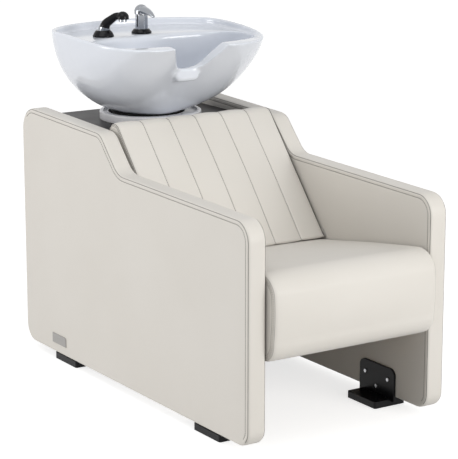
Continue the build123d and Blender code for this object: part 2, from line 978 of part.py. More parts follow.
def basin_swell(share):
    """How wide the basin is at a share of its height, from its foot to one at the rim."""
    capped = min(share, 1.0)
    rise = (1 - (1 - capped) ** basin_profile_power) ** (1 / basin_profile_root)
    return rise


def basin_measures(height):
    """Half width, front reach, rear reach and middle Y of the basin's outside at a height."""
    side_share = (height - basin_bottom_height) / (basin_side_rim_height - basin_bottom_height)
    front_share = (height - basin_bottom_height) / (basin_front_rim_height - basin_bottom_height)
    foot = basin_foot_share * basin_half_width
    front_foot = basin_front_foot_share * basin_half_width
    swell = basin_swell(side_share)
    half_width = foot + (basin_half_width - foot) * swell
    rear = foot + (basin_rear_reach - foot) * swell
    front = front_foot + (basin_front_reach - front_foot) * max(front_share, 0.0) ** basin_front_power
    middle = foot_y + (fy(basin_widest_back) - foot_y) * min(side_share, 1.0) ** basin_middle_power
    return half_width, front, rear, middle


def basin_squareness(height):
    """How square the basin's outside is in front and at the rear at a height, from two for a plain oval."""
    share = (height - basin_bottom_height) / (basin_side_rim_height - basin_bottom_height)
    square = min(1.0, max(share, 0.0) / basin_square_height_share)
    return 2 + (basin_front_squareness - 2) * square, 2 + (basin_rear_squareness - 2) * square


def front_dent(height):
    """How deep the dent in the basin's front is at a height."""
    share = (height - basin_bottom_height) / (basin_side_rim_height - basin_bottom_height)
    return basin_dent_depth * min(1.0, max(share, 0.0) / basin_dent_share)


def outside_half_width(height, y):
    """Half the basin's outside width at a height and a place in front of its widest line."""
    half_width, front, _, middle = basin_measures(height)
    squareness, _ = basin_squareness(height)
    along = (middle - y) / front
    return half_width * (1 - along**squareness) ** (1 / squareness)


def oval_points(half_width, front, rear, middle, front_squareness, rear_squareness, dent):
    """Points round a squared oval, with a shallow dent in the middle of its front."""
    points = []
    for count in range(outline_point_count):
        angle = 2 * math.pi * count / outline_point_count
        across = math.cos(angle)
        along = math.sin(angle)
        reach = rear if along >= 0 else front
        power = rear_squareness if along >= 0 else front_squareness
        size = (abs(across) ** power + abs(along) ** power) ** (-1 / power)
        x = half_width * across * size
        y = middle + reach * along * size
        if along < 0:
            y += dent * math.exp(-((x / basin_dent_width) ** 2))
        points.append((x, y))
    return points


def basin_section(height):
    """The basin's outside at one height, as a face."""
    half_width, front, rear, middle = basin_measures(height)
    front_squareness, rear_squareness = basin_squareness(height)
    dent = front_dent(height)
    points = oval_points(half_width, front, rear, middle, front_squareness, rear_squareness, dent)
    with BuildSketch(Plane.XY.offset(height)) as section:
        with BuildLine():
            Spline(points, periodic=True)
        make_face()
    return section.sketch


def recess_section(height):
    """The inside of the basin above the tap ledge, as a face."""
    half_width, front, rear, middle = basin_measures(height)
    points = oval_points(
        half_width - basin_wall,
        front - basin_wall,
        rear - basin_wall,
        middle,
        basin_front_squareness,
        basin_rear_squareness,
        basin_dent_depth,
    )
    with BuildSketch(Plane.XY.offset(height)) as section:
        with BuildLine():
            Spline(points, periodic=True)
        make_face()
    return section.sketch


def cavity_section(height):
    """The inside of the basin below the tap ledge, as a face."""
    floor_height = basin_bottom_height + basin_floor_thickness
    share = (height - floor_height) / (deck_ledge_height - floor_height)
    outside_height = height - basin_floor_lift * (1 - share)
    _, front, _, middle = basin_measures(outside_height)
    front_inside = middle - front + basin_wall + front_dent(outside_height)
    rear_inside = fy(cavity_rear_back)
    centre = (front_inside + rear_inside) / 2
    reach = (rear_inside - front_inside) / 2
    half_inside = outside_half_width(outside_height, centre) - cavity_side_wall
    points = oval_points(half_inside, reach, reach, centre, cavity_squareness, cavity_squareness, 0)
    with BuildSketch(Plane.XY.offset(height)) as section:
        with BuildLine():
            Spline(points, periodic=True)
        make_face()
    return section.sketch


def pocket_section(height):
    """The hollow behind the cavity and under the tap ledge, as a face."""
    pocket_high = deck_ledge_height - ledge_thickness
    share = (height - pocket_floor_height) / (pocket_high - pocket_floor_height)
    half_width, _, rear, middle = basin_measures(height - basin_floor_lift * (1 - share))
    front_reach = fy(pocket_widest_back) - fy(pocket_front_back)
    rear_reach = middle + rear - pocket_rear_wall - fy(pocket_widest_back)
    half_inside = half_width * pocket_width_share
    widest = fy(pocket_widest_back)
    points = oval_points(
        half_inside, front_reach, rear_reach, widest, basin_front_squareness, basin_rear_squareness, 0
    )
    with BuildSketch(Plane.XY.offset(height)) as section:
        with BuildLine():
            Spline(points, periodic=True)
        make_face()
    return section.sketch


def heights_between(low, high, shares):
    """Heights at the given shares of a rise."""
    return [low + share * (high - low) for share in shares]


def neck_lip():
    """The rolled lip under the neck notch, as a rounded block that the cavity and the notch then cut."""
    with BuildPart() as lip:
        with BuildSketch(Plane.XZ.offset(-fy(lip_front_back))):
            with Locations((0, lip_bottom_height + lip_height / 2)):
                RectangleRounded(2 * lip_half_width, lip_height, lip_corner_radius)
        extrude(amount=-lip_length)
        fillet(lip.faces().sort_by(Axis.Y)[0].edges(), lip_soft_radius)
    return lip.part


def neck_notch():
    """The space of the neck notch, a round-bottomed dip that flares towards the rim."""
    notch_high = basin_side_rim_height + basin_trim_height
    flank = [
        (notch_half_width * width_share, notch_bottom_height + notch_rise * rise_share)
        for width_share, rise_share in zip(notch_width_shares, notch_rise_shares)
    ]
    other_flank = [(-x, z) for x, z in reversed(flank)]
    with BuildPart() as notch:
        with BuildSketch(Plane.XZ.offset(-fy(notch_lead_back))):
            with BuildLine():
                Spline(*other_flank, (0, notch_bottom_height), *flank)
                Polyline(
                    flank[-1],
                    (notch_half_width, notch_high),
                    (-notch_half_width, notch_high),
                    other_flank[0],
                )
            make_face()
        extrude(amount=-notch_reach)
    return notch.part


def rim_waste():
    """The space above the rim, which dips towards the front."""
    side = fy(basin_widest_back)
    front = side - basin_front_reach - basin_trim_height
    rear = side + basin_rear_reach + basin_trim_height
    high = basin_side_rim_height + 2 * basin_trim_height
    with BuildPart() as space:
        with BuildSketch(Plane.YZ.offset(-basin_half_width - overrun)):
            with BuildLine():
                ThreePointArc(
                    (front, basin_front_rim_height),
                    (side, basin_side_rim_height),
                    (rear, basin_rear_rim_height),
                )
                Polyline(
                    (rear, basin_rear_rim_height),
                    (rear + basin_trim_margin, basin_rear_rim_height),
                    (rear + basin_trim_margin, high),
                    (front - basin_trim_margin, high),
                    (front - basin_trim_margin, basin_front_rim_height),
                    (front, basin_front_rim_height),
                )
            make_face()
        extrude(amount=2 * (basin_half_width + overrun))
    return space.part


def basin():
    """The ceramic basin: shell, tap ledge, cavity, hollow back, neck notch with its lip, and its bores."""
    floor_height = basin_bottom_height + basin_floor_thickness
    pocket_high = deck_ledge_height - ledge_thickness
    outer = heights_between(basin_bottom_height, basin_side_rim_height, basin_section_shares)
    cavity = heights_between(floor_height, deck_ledge_height, cavity_section_shares)
    pocket = heights_between(pocket_floor_height, pocket_high, pocket_section_shares)
    recess = [deck_ledge_height, basin_side_rim_height + 2 * basin_trim_height]
    with BuildPart() as bowl:
        loft(sections=[basin_section(height) for height in outer])
        add(neck_lip())
        loft(sections=[cavity_section(height) for height in cavity], mode=Mode.SUBTRACT)
        loft(sections=[recess_section(height) for height in recess], mode=Mode.SUBTRACT)
        loft(sections=[pocket_section(height) for height in pocket], mode=Mode.SUBTRACT)
        add(rim_waste(), mode=Mode.SUBTRACT)
        add(neck_notch(), mode=Mode.SUBTRACT)
        with BuildSketch(Plane.XY.offset(basin_bottom_height - overrun)):
            with Locations((0, fy(waste_back))):
                Circle(waste_bore_radius)
        extrude(amount=basin_floor_thickness + 2 * overrun, mode=Mode.SUBTRACT)
        with BuildSketch(Plane.XY.offset(basin_bottom_height - overrun)):
            with Locations((0, fy(foot_passage_back))):
                Circle(foot_passage_radius)
        extrude(amount=pocket_floor_height - basin_bottom_height + 2 * overrun, mode=Mode.SUBTRACT)
        with BuildSketch(Plane.XY.offset(basin_bottom_height)):
            for place in basin_bolt_places():
                with Locations(place):
                    Circle(basin_bolt_radius + running_gap)
        extrude(amount=basin_bolt_depth + running_gap, mode=Mode.SUBTRACT)
        shanks = ((0, mixer_back, mixer_shank_radius), (spray_x, spray_back, spray_shank_radius))
        for x, back, radius in shanks:
            with BuildSketch(Plane.XY.offset(pocket_high - overrun)):
                with Locations((x, fy(back))):
                    Circle(radius + running_gap)
            extrude(amount=ledge_thickness + 2 * overrun, mode=Mode.SUBTRACT)
    return bowl.part


# Turned pieces


def turned(plane, outline):
    """A turned piece: an outline of radius and height points spun round the plane's own upright."""
    with BuildPart() as piece:
        with BuildSketch(plane):
            with BuildLine():
                Polyline(*outline, close=True)
            make_face()
        revolve(axis=Axis(plane.origin, plane.y_dir))
    return piece.part


def upright_plane(x, y, z):
    """A plane whose upright is the vertical through a point."""
    return Plane(origin=(x, y, z), x_dir=(1, 0, 0), z_dir=(0, -1, 0))


def ring_piece(x, y, z_low, z_high, inner, outer):
    """A plain ring or tube round a vertical."""
    height = z_high - z_low
    return turned(upright_plane(x, y, z_low), [(inner, 0), (outer, 0), (outer, height), (inner, height)])


# Waste


def waste_flange():
    """The waste fitting in the basin's floor: a flange, a tube and a seat for the strainer."""
    floor = basin_bottom_height + basin_floor_thickness
    outer = waste_bore_radius - running_gap
    seat = floor + waste_flange_thickness - strainer_seat_depth
    seat_bore = strainer_radius + running_gap
    outline = [
        (waste_tube_bore, waste_tube_bottom - floor),
        (outer, waste_tube_bottom - floor),
        (outer, 0),
        (waste_flange_radius, 0),
        (waste_flange_radius, waste_flange_thickness / 2),
        (waste_flange_radius - waste_flange_thickness, waste_flange_thickness),
        (seat_bore, waste_flange_thickness),
        (seat_bore, seat - floor),
        (waste_tube_bore, seat - floor),
    ]
    return turned(upright_plane(0, fy(waste_back), floor), outline)


def waste_strainer():
    """The lift-out strainer: a holed disc with a small knob."""
    floor = basin_bottom_height + basin_floor_thickness
    seat = floor + waste_flange_thickness - strainer_seat_depth
    with BuildPart() as strainer:
        with BuildSketch(Plane.XY.offset(seat)):
            with Locations((0, fy(waste_back))):
                Circle(strainer_radius)
                with PolarLocations(strainer_hole_circle, strainer_hole_count):
                    Circle(strainer_hole_radius, mode=Mode.SUBTRACT)
        extrude(amount=strainer_thickness)
        add(
            upright_cylinder(
                0, fy(waste_back), seat + strainer_thickness, strainer_knob_radius, strainer_knob_height
            )
        )
    return strainer.part


def waste_nut():
    """The nut that clamps the waste fitting under the basin's foot."""
    with BuildPart() as nut:
        with BuildSketch(Plane.XY.offset(basin_bottom_height - waste_nut_thickness)):
            with Locations((0, fy(waste_back))):
                RegularPolygon(waste_nut_radius, 6)
                Circle(waste_bore_radius, mode=Mode.SUBTRACT)
        extrude(amount=waste_nut_thickness)
    return nut.part


# Mixer tap

mixer_y = fy(mixer_back)
mixer_body_low = deck_ledge_height + mixer_ring_height


def mixer_base_ring():
    """The black ring under the mixer body."""
    outline = [
        (mixer_shank_radius + running_gap, 0),
        (mixer_ring_radius, 0),
        (mixer_ring_radius, mixer_ring_height / 3),
        (mixer_ring_top_radius, mixer_ring_height),
        (mixer_shank_radius + running_gap, mixer_ring_height),
    ]
    return turned(upright_plane(0, mixer_y, deck_ledge_height), outline)


def mixer_plane(height):
    """A level plane on the mixer's upright, turned so that its own X runs out through the slot."""
    turn = math.radians(mixer_slot_angle)
    return Plane(origin=(0, mixer_y, height), x_dir=(math.cos(turn), math.sin(turn), 0), z_dir=(0, 0, 1))


def mixer_body():
    """The faceted mixer body with its shank through the ledge, its slot and the bore for the stem."""
    half_facet = 180 / mixer_flat_count
    flat_reach = (mixer_body_radius - mixer_flat_depth) / math.cos(math.radians(half_facet))
    shank_low = mixer_body_low - mixer_shank_length
    slot_middle = mixer_body_radius - mixer_flat_depth
    with BuildPart() as body:
        with BuildSketch(mixer_plane(mixer_body_low)):
            Circle(mixer_body_radius)
            RegularPolygon(flat_reach, mixer_flat_count, rotation=half_facet, mode=Mode.INTERSECT)
        extrude(amount=mixer_body_top - mixer_body_low)
        add(upright_cylinder(0, mixer_y, shank_low, mixer_shank_radius, mixer_shank_length))
        with BuildSketch(mixer_plane(mixer_body_low + mixer_slot_low)):
            with Locations((slot_middle, 0)):
                Rectangle(2 * mixer_slot_depth, mixer_slot_width)
        extrude(amount=mixer_body_top - mixer_body_low, mode=Mode.SUBTRACT)
        with BuildSketch(mixer_plane(mixer_body_top - mixer_stem_depth)):
            Circle(mixer_stem_radius + running_gap)
        extrude(amount=mixer_stem_depth + overrun, mode=Mode.SUBTRACT)
    return body.part


def mixer_slot_strip():
    """The dark strip let into the slot of the mixer body."""
    slot_floor = mixer_body_radius - mixer_flat_depth - mixer_slot_depth
    strip_low = mixer_body_low + mixer_slot_low
    with BuildPart() as strip:
        with BuildSketch(mixer_plane(strip_low)):
            with Locations((slot_floor + mixer_strip_depth / 2, 0)):
                Rectangle(mixer_strip_depth, mixer_slot_width)
        extrude(amount=mixer_body_top - strip_low)
    return strip.part


def mixer_nut():
    """The nut that holds the mixer under the tap ledge."""
    low = deck_ledge_height - ledge_thickness - mixer_nut_height
    with BuildPart() as nut:
        with BuildSketch(Plane.XY.offset(low)):
            with Locations((0, mixer_y)):
                RegularPolygon(mixer_nut_radius, 6)
                Circle(mixer_shank_radius + running_gap, mode=Mode.SUBTRACT)
        extrude(amount=mixer_nut_height)
    return nut.part


def mixer_stem():
    """The turning stem of the mixer's cartridge, with a collar and the block that carries the lever."""
    block_y = mixer_y + (mixer_block_rear - mixer_block_front) / 2
    with BuildPart() as stem:
        stem_low = mixer_body_top - mixer_stem_depth
        add(upright_cylinder(0, mixer_y, stem_low, mixer_stem_radius, mixer_stem_depth))
        add(upright_cylinder(0, mixer_y, mixer_body_top, mixer_collar_radius, mixer_collar_height))
        with BuildSketch(Plane.XY.offset(mixer_body_top)):
            with Locations((0, block_y)):
                Rectangle(2 * mixer_block_half_width, mixer_block_front + mixer_block_rear)
        extrude(amount=mixer_block_top - mixer_body_top)
        with BuildSketch(Plane.YZ.offset(-mixer_block_half_width - overrun)):
            with Locations((mixer_y + mixer_hinge_back, mixer_hinge_height)):
                Circle(mixer_hinge_radius + running_gap / 2)
        extrude(amount=2 * (mixer_block_half_width + overrun), mode=Mode.SUBTRACT)
    return stem.part


def mixer_pin():
    """The pin that the mixer lever lifts about."""
    with BuildPart() as pin:
        with BuildSketch(Plane.YZ.offset(-mixer_hinge_half_length)):
            with Locations((mixer_y + mixer_hinge_back, mixer_hinge_height)):
                Circle(mixer_hinge_radius)
        extrude(amount=2 * mixer_hinge_half_length)
    return pin.part


def beak_section(distance, height, width, depth):
    """One oval section of the mixer's beak."""
    with BuildSketch(Plane.XZ.offset(-(mixer_y - distance))) as section:
        with Locations((0, height)):
            Ellipse(width / 2, depth / 2)
    return section.sketch


def mixer_lever():
    """The domed lever cap with its beak, hollow underneath for the stem's block and pin."""
    cap_low = mixer_body_top + mixer_cap_gap
    skirt_top = cap_low + mixer_cap_skirt
    shoulder = (mixer_cap_radius + skirt_top - mixer_cap_top) / 2
    dome_share = math.sqrt(0.5)
    beak = (
        (0, mixer_beak_root_height, mixer_beak_root_width, mixer_beak_root_depth),
        (mixer_beak_reach / 2, mixer_beak_middle_height, mixer_beak_middle_width, mixer_beak_middle_depth),
        (mixer_beak_reach, mixer_beak_tip_height, mixer_beak_tip_width, mixer_beak_tip_depth),
    )
    rise = mixer_cap_top - skirt_top
    with BuildPart() as lever:
        with BuildSketch(Plane.YZ):
            with BuildLine():
                Line((mixer_y, cap_low), (mixer_y + mixer_cap_radius, cap_low))
                Line((mixer_y + mixer_cap_radius, cap_low), (mixer_y + mixer_cap_radius, skirt_top))
                ThreePointArc(
                    (mixer_y + mixer_cap_radius, skirt_top),
                    (mixer_y + mixer_cap_radius * dome_share, skirt_top + rise * dome_share),
                    (mixer_y, mixer_cap_top),
                )
                Line((mixer_y, mixer_cap_top), (mixer_y, cap_low))
            make_face()
        revolve(axis=Axis((0, mixer_y, 0), (0, 0, 1)))
        loft(sections=[beak_section(*measures) for measures in beak])
        socket_y = mixer_y + (mixer_socket_rear - mixer_socket_front) / 2
        socket_half = mixer_block_half_width + mixer_socket_side_gap
        with BuildSketch(Plane.XY.offset(cap_low - overrun)):
            with Locations((0, socket_y)):
                Rectangle(2 * socket_half, mixer_socket_front + mixer_socket_rear)
        extrude(amount=mixer_socket_top - cap_low + overrun, mode=Mode.SUBTRACT)
        with BuildSketch(Plane.YZ.offset(-mixer_cap_radius - overrun)):
            with BuildLine():
                rise_rear = mixer_cap_radius - mixer_lift_cut_back + overrun
                cut_rise = rise_rear * math.tan(math.radians(mixer_lift_cut_angle))
                cut_rear = mixer_y + mixer_lift_cut_back + rise_rear
                Polyline(
                    (mixer_y + mixer_lift_cut_back, cap_low),
                    (cut_rear, cap_low + cut_rise),
                    (cut_rear, cap_low - overrun),
                    (mixer_y + mixer_lift_cut_back, cap_low - overrun),
                    close=True,
                )
            make_face()
        extrude(amount=2 * (mixer_cap_radius + overrun), mode=Mode.SUBTRACT)
        with BuildSketch(Plane.YZ.offset(-mixer_hinge_half_length - running_gap)):
            with Locations((mixer_y + mixer_hinge_back, mixer_hinge_height)):
                Circle(mixer_hinge_radius + running_gap)
        extrude(amount=2 * (mixer_hinge_half_length + running_gap), mode=Mode.SUBTRACT)
    return lever.part


# Hand spray

spray_y = fy(spray_back)
spray_lean_angle = math.radians(spray_lean)
spray_turn_angle = math.radians(spray_turn)
spray_level = Vector(math.cos(spray_turn_angle), math.sin(spray_turn_angle), 0)
spray_axis = spray_level * math.sin(spray_lean_angle) + Vector(0, 0, math.cos(spray_lean_angle))
spray_collar_foot = Vector(spray_x, spray_y, deck_ledge_height + spray_base_height - spray_collar_sink)


def spray_plane(origin):
    """The upright plane that the hand spray leans and bends in, with its own level and vertical."""
    return Plane(origin=origin, x_dir=spray_level, z_dir=spray_level.cross(Vector(0, 0, 1)))


def leaning_plane(along):
    """A plane square to the spray's socket, at a distance up its axis from the collar's foot."""
    aside = spray_level.cross(spray_axis)
    return Plane(origin=spray_collar_foot + spray_axis * along, x_dir=aside, z_dir=spray_axis)


def leaning_cylinder(start, length, radius):
    """A round piece on the axis of the spray's socket."""
    with BuildPart() as piece:
        with BuildSketch(leaning_plane(start)):
            Circle(radius)
        extrude(amount=length)
    return piece.part


def spray_base():
    """The black bell-shaped base of the hand spray, with its shank through the ledge."""
    shank_low = spray_base_height - spray_shank_length
    outline = [
        (0, shank_low),
        (spray_shank_radius, shank_low),
        (spray_shank_radius, 0),
        (spray_base_radius, 0),
        (spray_base_radius, spray_shoulder_height / 3),
        (spray_shoulder_radius, spray_shoulder_height),
        (spray_neck_base_radius, spray_base_height),
        (0, spray_base_height),
    ]
    with BuildPart() as base:
        add(turned(upright_plane(spray_x, spray_y, deck_ledge_height), outline))
        add(leaning_cylinder(0, spray_base_radius, spray_collar_radius + running_gap), mode=Mode.SUBTRACT)
    return base.part


def spray_collar():
    """The leaning chrome collar that holds the handset's plug."""
    with BuildPart() as collar:
        add(leaning_cylinder(0, spray_collar_length, spray_collar_radius))
        add(
            leaning_cylinder(
                spray_collar_length - spray_plug_length - running_gap,
                spray_plug_length + overrun,
                spray_plug_radius + running_gap,
            ),
            mode=Mode.SUBTRACT,
        )
    return collar.part


def spray_nut():
    """The nut that holds the spray base under the tap ledge."""
    low = deck_ledge_height - ledge_thickness - spray_nut_height
    with BuildPart() as nut:
        with BuildSketch(Plane.XY.offset(low)):
            with Locations((spray_x, spray_y)):
                RegularPolygon(spray_nut_radius, 6)
                Circle(spray_shank_radius + running_gap, mode=Mode.SUBTRACT)
        extrude(amount=spray_nut_height)
    return nut.part


spray_neck_foot = spray_collar_foot + spray_axis * spray_collar_length
spray_head_foot = spray_neck_foot + spray_level * spray_head_reach + Vector(0, 0, 1) * spray_head_rise


def spray_path():
    """The handset's middle line from the collar's top into the head, in the spray's upright plane."""
    start_angle = math.radians(90 - spray_lean)
    level_angle = 90 - spray_lean - spray_neck_bend_angle
    with BuildLine(spray_plane(spray_neck_foot)) as path:
        heading = (math.cos(start_angle), math.sin(start_angle))
        rise = JernArc((0, 0), heading, spray_neck_bend_radius, -spray_neck_bend_angle)
        run = Line(rise @ 1, (rise @ 1) + (rise % 1) * spray_neck_run)
        JernArc(run @ 1, run % 1, spray_neck_bend_radius, -level_angle)
    return path.line


def spray_head():
    """The dome of the handset, open side down."""
    halfway = math.sqrt(1 / 2)
    shoulder_height = spray_head_skirt + halfway * (spray_head_height - spray_head_skirt)
    with BuildPart() as dome:
        with BuildSketch(spray_plane(spray_head_foot)):
            with BuildLine():
                Polyline(
                    (0, spray_head_height),
                    (0, 0),
                    (spray_head_radius, 0),
                    (spray_head_radius, spray_head_skirt),
                )
                Spline(
                    (spray_head_radius, spray_head_skirt),
                    (halfway * spray_head_radius, shoulder_height),
                    (0, spray_head_height),
                    tangents=((0, 1), (-1, 0)),
                )
            make_face()
        revolve(axis=Axis(spray_head_foot, (0, 0, 1)))
    return dome.part


def spray_handset():
    """The curved black handset: a tapering neck, the domed head and the plug."""
    path = spray_path()
    aside = spray_level.cross(spray_axis)
    head_plane = Plane(origin=path @ 1, x_dir=aside, z_dir=path % 1)
    with BuildPart() as handset:
        with BuildSketch(leaning_plane(spray_collar_length)) as neck_end:
            Circle(spray_neck_foot_radius)
        with BuildSketch(head_plane) as head_end:
            Circle(spray_neck_end_radius)
        sweep(sections=[neck_end.sketch, head_end.sketch], path=path, multisection=True)
        add(spray_head())
        add(leaning_cylinder(spray_collar_length - spray_plug_length, spray_plug_length, spray_plug_radius))
    return handset.part


def spray_face():
    """The chrome spray face under the handset's head."""
    low = spray_head_foot.Z - spray_face_thickness
    return upright_cylinder(
        spray_head_foot.X, spray_head_foot.Y, low, spray_face_radius, spray_face_thickness
    )


# Everything written out, one file per piece

os.makedirs("parts", exist_ok=True)

for side, name in ((1, "left"), (-1, "right")):
    save(panel_board(side), f"side_panel_board_{name}")
    save(panel_cover(side), f"side_panel_cover_{name}")
    save(back_batten(side), f"back_batten_{name}")
    save(rear_cleat(side), f"rear_cleat_{name}")
    save(floor_bracket(side, front_bracket_back), f"front_bracket_{name}")
    save(floor_bracket(side, rear_bracket_back), f"rear_bracket_{name}")
    seat_rail_x = sorted((side * inner_x, side * (inner_x - batten_width)))
    seat_rail = bar(
        *seat_rail_x,
        fy(seat_batten_start_back),
        fy(seat_rear_back),
        seat_board_low - batten_height,
        seat_board_low,
    )
    save(seat_rail, f"seat_batten_{name}")
    deck_rail_x = sorted((side * inner_x, side * (inner_x - batten_width)))
    deck_rail = bar(
        *deck_rail_x,
        fy(deck_batten_start_back),
        rear_y - deck_rear_margin - cover_board_thickness - batten_height - deck_batten_end_margin,
        deck_low - batten_height,
        deck_low,
    )
    save(deck_rail, f"deck_batten_{name}")

seat_board = bar(
    -inner_x,
    inner_x,
    fy(seat_board_set_back),
    fy(seat_rear_back),
    seat_board_low,
    seat_bottom_height - soft_gap,
)
inner_panel = bar(
    -inner_x,
    inner_x,
    fy(inner_panel_back),
    fy(inner_panel_back) + cover_board_thickness,
    inner_panel_bottom,
    seat_break_height,
)
save(seat_cushion(), "seat_cushion")
save(seat_board, "seat_board")
save(back_pad(), "back_pad")
save(back_board(), "back_board")
save(inner_panel, "inner_front_panel")
save(service_deck(), "service_deck")
save(rear_cover(), "rear_cover")
save(rear_cover_screws(), "rear_cover_screws")
save(cross_tube(front_tube_back, front_tube_height, tube_plate_front_height), "front_cross_tube")
save(cross_tube(rear_tube_back, rear_tube_height, tube_plate_height), "rear_cross_tube")
save(tube_screws(), "cross_tube_screws")
save(bracket_screws(), "bracket_screws")
save(floor_pads(), "bracket_floor_pads")
save(name_plate(), "panel_plate")
save(collar_ring(), "collar_ring")
save(tilt_bracket(), "tilt_bracket")
save(tilt_pin(), "tilt_pin")
save(tilt_plate(), "tilt_plate")
save(tilt_rest_pads(), "tilt_rest_pads")
save(basin_bolts(), "basin_bolts")
save(basin(), "basin")
save(waste_flange(), "waste_flange")
save(waste_strainer(), "waste_strainer")
save(waste_nut(), "waste_nut")
waste_tail = ring_piece(
    0,
    fy(waste_back),
    waste_tail_bottom,
    waste_tail_top,
    waste_bore_radius,
    waste_bore_radius + waste_tail_wall,
)
save(waste_tail, "waste_tail")
save(mixer_base_ring(), "mixer_base_ring")
save(mixer_body(), "mixer_body")
save(mixer_slot_strip(), "mixer_slot_strip")
save(mixer_nut(), "mixer_nut")
save(mixer_stem(), "mixer_stem")
save(mixer_pin(), "mixer_pin")
save(mixer_lever(), "mixer_lever")
save(spray_base(), "spray_base")
save(spray_collar(), "spray_collar")
save(spray_nut(), "spray_nut")
save(spray_handset(), "spray_handset")
save(spray_face(), "spray_face")
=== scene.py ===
import json
import math

import bmesh
import bpy
import numpy as np
from mathutils import Matrix, Vector


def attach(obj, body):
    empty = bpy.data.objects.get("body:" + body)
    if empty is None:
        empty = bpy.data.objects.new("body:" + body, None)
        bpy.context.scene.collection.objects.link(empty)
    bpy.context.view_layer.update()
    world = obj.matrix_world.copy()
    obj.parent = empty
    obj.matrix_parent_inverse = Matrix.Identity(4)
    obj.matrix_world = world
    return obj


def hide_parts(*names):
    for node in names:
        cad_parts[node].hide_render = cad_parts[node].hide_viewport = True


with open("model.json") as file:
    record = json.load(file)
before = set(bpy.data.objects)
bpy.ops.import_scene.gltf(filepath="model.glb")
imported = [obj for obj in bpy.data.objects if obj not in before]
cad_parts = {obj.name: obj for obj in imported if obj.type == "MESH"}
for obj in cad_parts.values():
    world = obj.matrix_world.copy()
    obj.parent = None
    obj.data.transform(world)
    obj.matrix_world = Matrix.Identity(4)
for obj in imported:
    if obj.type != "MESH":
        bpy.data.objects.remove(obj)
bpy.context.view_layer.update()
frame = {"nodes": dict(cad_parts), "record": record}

# The looks of a salon backwash unit, in metres, in the frame of its solids.
# X points to the occupant's left, Y to the rear and Z up.
# "Back" is measured from the front edge of the side panels.

# Layout
FRONT_Y = -0.592
PANEL_INNER_X = 0.257
PANEL_OUTER_X = 0.310
PANEL_LENGTH = 1.200
PANEL_BOTTOM = 0.025

# Side panel outline and its sewn edge
# Each corner: how far back, how high, its radius.
PANEL_CORNERS = (
    (0.0, PANEL_BOTTOM, 0.045),
    (0.0, 0.606, 0.055),
    (0.641, 0.6174, 0.070),
    (0.737, 0.7165, 0.055),
    (PANEL_LENGTH, 0.731, 0.068),
    (PANEL_LENGTH, PANEL_BOTTOM, 0.050),
)
# Each line of the rounded edge: how far in from the outline, how deep from the face,
# and how much deeper where it is sewn.
PANEL_EDGE = (
    (0.0400, 0.0000, 0.0000),
    (0.0200, 0.0000, 0.0000),
    (0.0142, 0.0000, 0.0000),
    (0.0135, 0.0000, 0.0004),
    (0.0130, 0.0000, 0.0007),
    (0.0125, 0.0000, 0.0004),
    (0.0118, 0.0000, 0.0000),
    (0.0066, 0.0001, 0.0000),
    (0.0044, 0.0003, 0.0004),
    (0.0036, 0.0006, 0.0012),
    (0.0029, 0.0010, 0.0010),
    (0.0018, 0.0023, 0.0006),
    (0.0005, 0.0056, 0.0002),
    (0.0000, 0.0110, 0.0000),
)
# The panel is sewn from the middle of its first corner, over its front and top, to its fifth.
SEWN_FIRST_CORNER = 0
SEWN_LAST_CORNER = 4
TOPSTITCH_INSET = 0.0130
TOPSTITCH_DEPTH = 0.0002
# Where the dark cord lies in the corner seam: thread and painted shade in the seam's crease.
CORNER_SEAM_INSET = 0.0032
CORNER_SEAM_DEPTH = 0.0015

# Thread
THREAD_RADIUS = 0.00062
# Radius of the dark cord in each seam, which is thread and painted shade in the crease.
SEAM_THREAD_RADIUS = 0.00055
STITCH_LENGTH = 0.0046
STITCH_PITCH = 0.0060
THREAD_SIDES = 6
# Each ring of one stitch: its place along the stitch and its share of the thread's radius.
STITCH_RINGS = ((-0.5, 0.45), (-0.36, 1.0), (0.36, 1.0), (0.5, 0.45))

# Outline sampling
ARC_STEP = 0.0035
LINE_STEP = 0.0120

# Back pad
# Its outline from the side runs up its face, round the roll at its top, down its rear
# and along its foot. A range counts the outline's points, up to the one after its last.
BACK_FACE_STEPS = 42
BACK_ROLL_STEPS = 34
BACK_REAR_STEPS = 30
BACK_FOOT_STEPS = 6
BACK_SEWN_ROLL_SHARE = 0.75
BACK_SEAM_RANGE = (0, 100)
BACK_CHANNEL_STITCH_POINTS = 72
BACK_STATION_STEPS = 52
BACK_CROWN_POWER = 0.8
BACK_ANGLE = math.radians(49.2)
BACK_HALF_THICKNESS = 0.038
BACK_ROLL_Y = FRONT_Y + 0.757
BACK_ROLL_Z = 0.700
BACK_HALF_WIDTH = 0.2530
BACK_FOOT_ALONG = -0.4165
BACK_REAR_FOOT_ALONG = -0.372
BACK_CROWN = 0.007
CHANNEL_WIDTH = 0.086
CHANNEL_LINES = (-2, -1, 0, 1, 2)
CHANNEL_PUFF = 0.0020
CHANNEL_GROOVE = 0.0016
CHANNEL_GROOVE_WIDTH = 0.0022
CHANNEL_ROUNDNESS = 0.6
CHANNEL_STATION_OFFSETS = (-0.0040, -0.0022, -0.0011, 0.0, 0.0011, 0.0022, 0.0040)
CHANNEL_STATION_CLEARANCE = 0.0045
STATION_DIGITS = 5
CHANNEL_THREAD_SINK = 0.6

# Sewn gusset of the cushions
# Each line of the edge: how far in from the side, how far in from the outline.
CUSHION_EDGE = (
    (0.0200, 0.0000),
    (0.0100, 0.0005),
    (0.0050, 0.0015),
    (0.0022, 0.0034),
    (0.0014, 0.0044),
    (0.0010, 0.0056),
    (0.0004, 0.0066),
    (0.0002, 0.0078),
    (0.0000, 0.0110),
    (0.0001, 0.0150),
    (0.0006, 0.0162),
    (0.0009, 0.0170),
    (0.0006, 0.0178),
    (0.0001, 0.0190),
    (0.0000, 0.0240),
)
# Where the dark cord lies in each gusset's corner seam: thread and painted shade in the crease.
CUSHION_SEAM_X = 0.0016
CUSHION_SEAM_INSET = 0.0046
CUSHION_TOPSTITCH = ((0.0004, 0.0080), (0.0002, 0.0115), (0.0007, 0.0170))

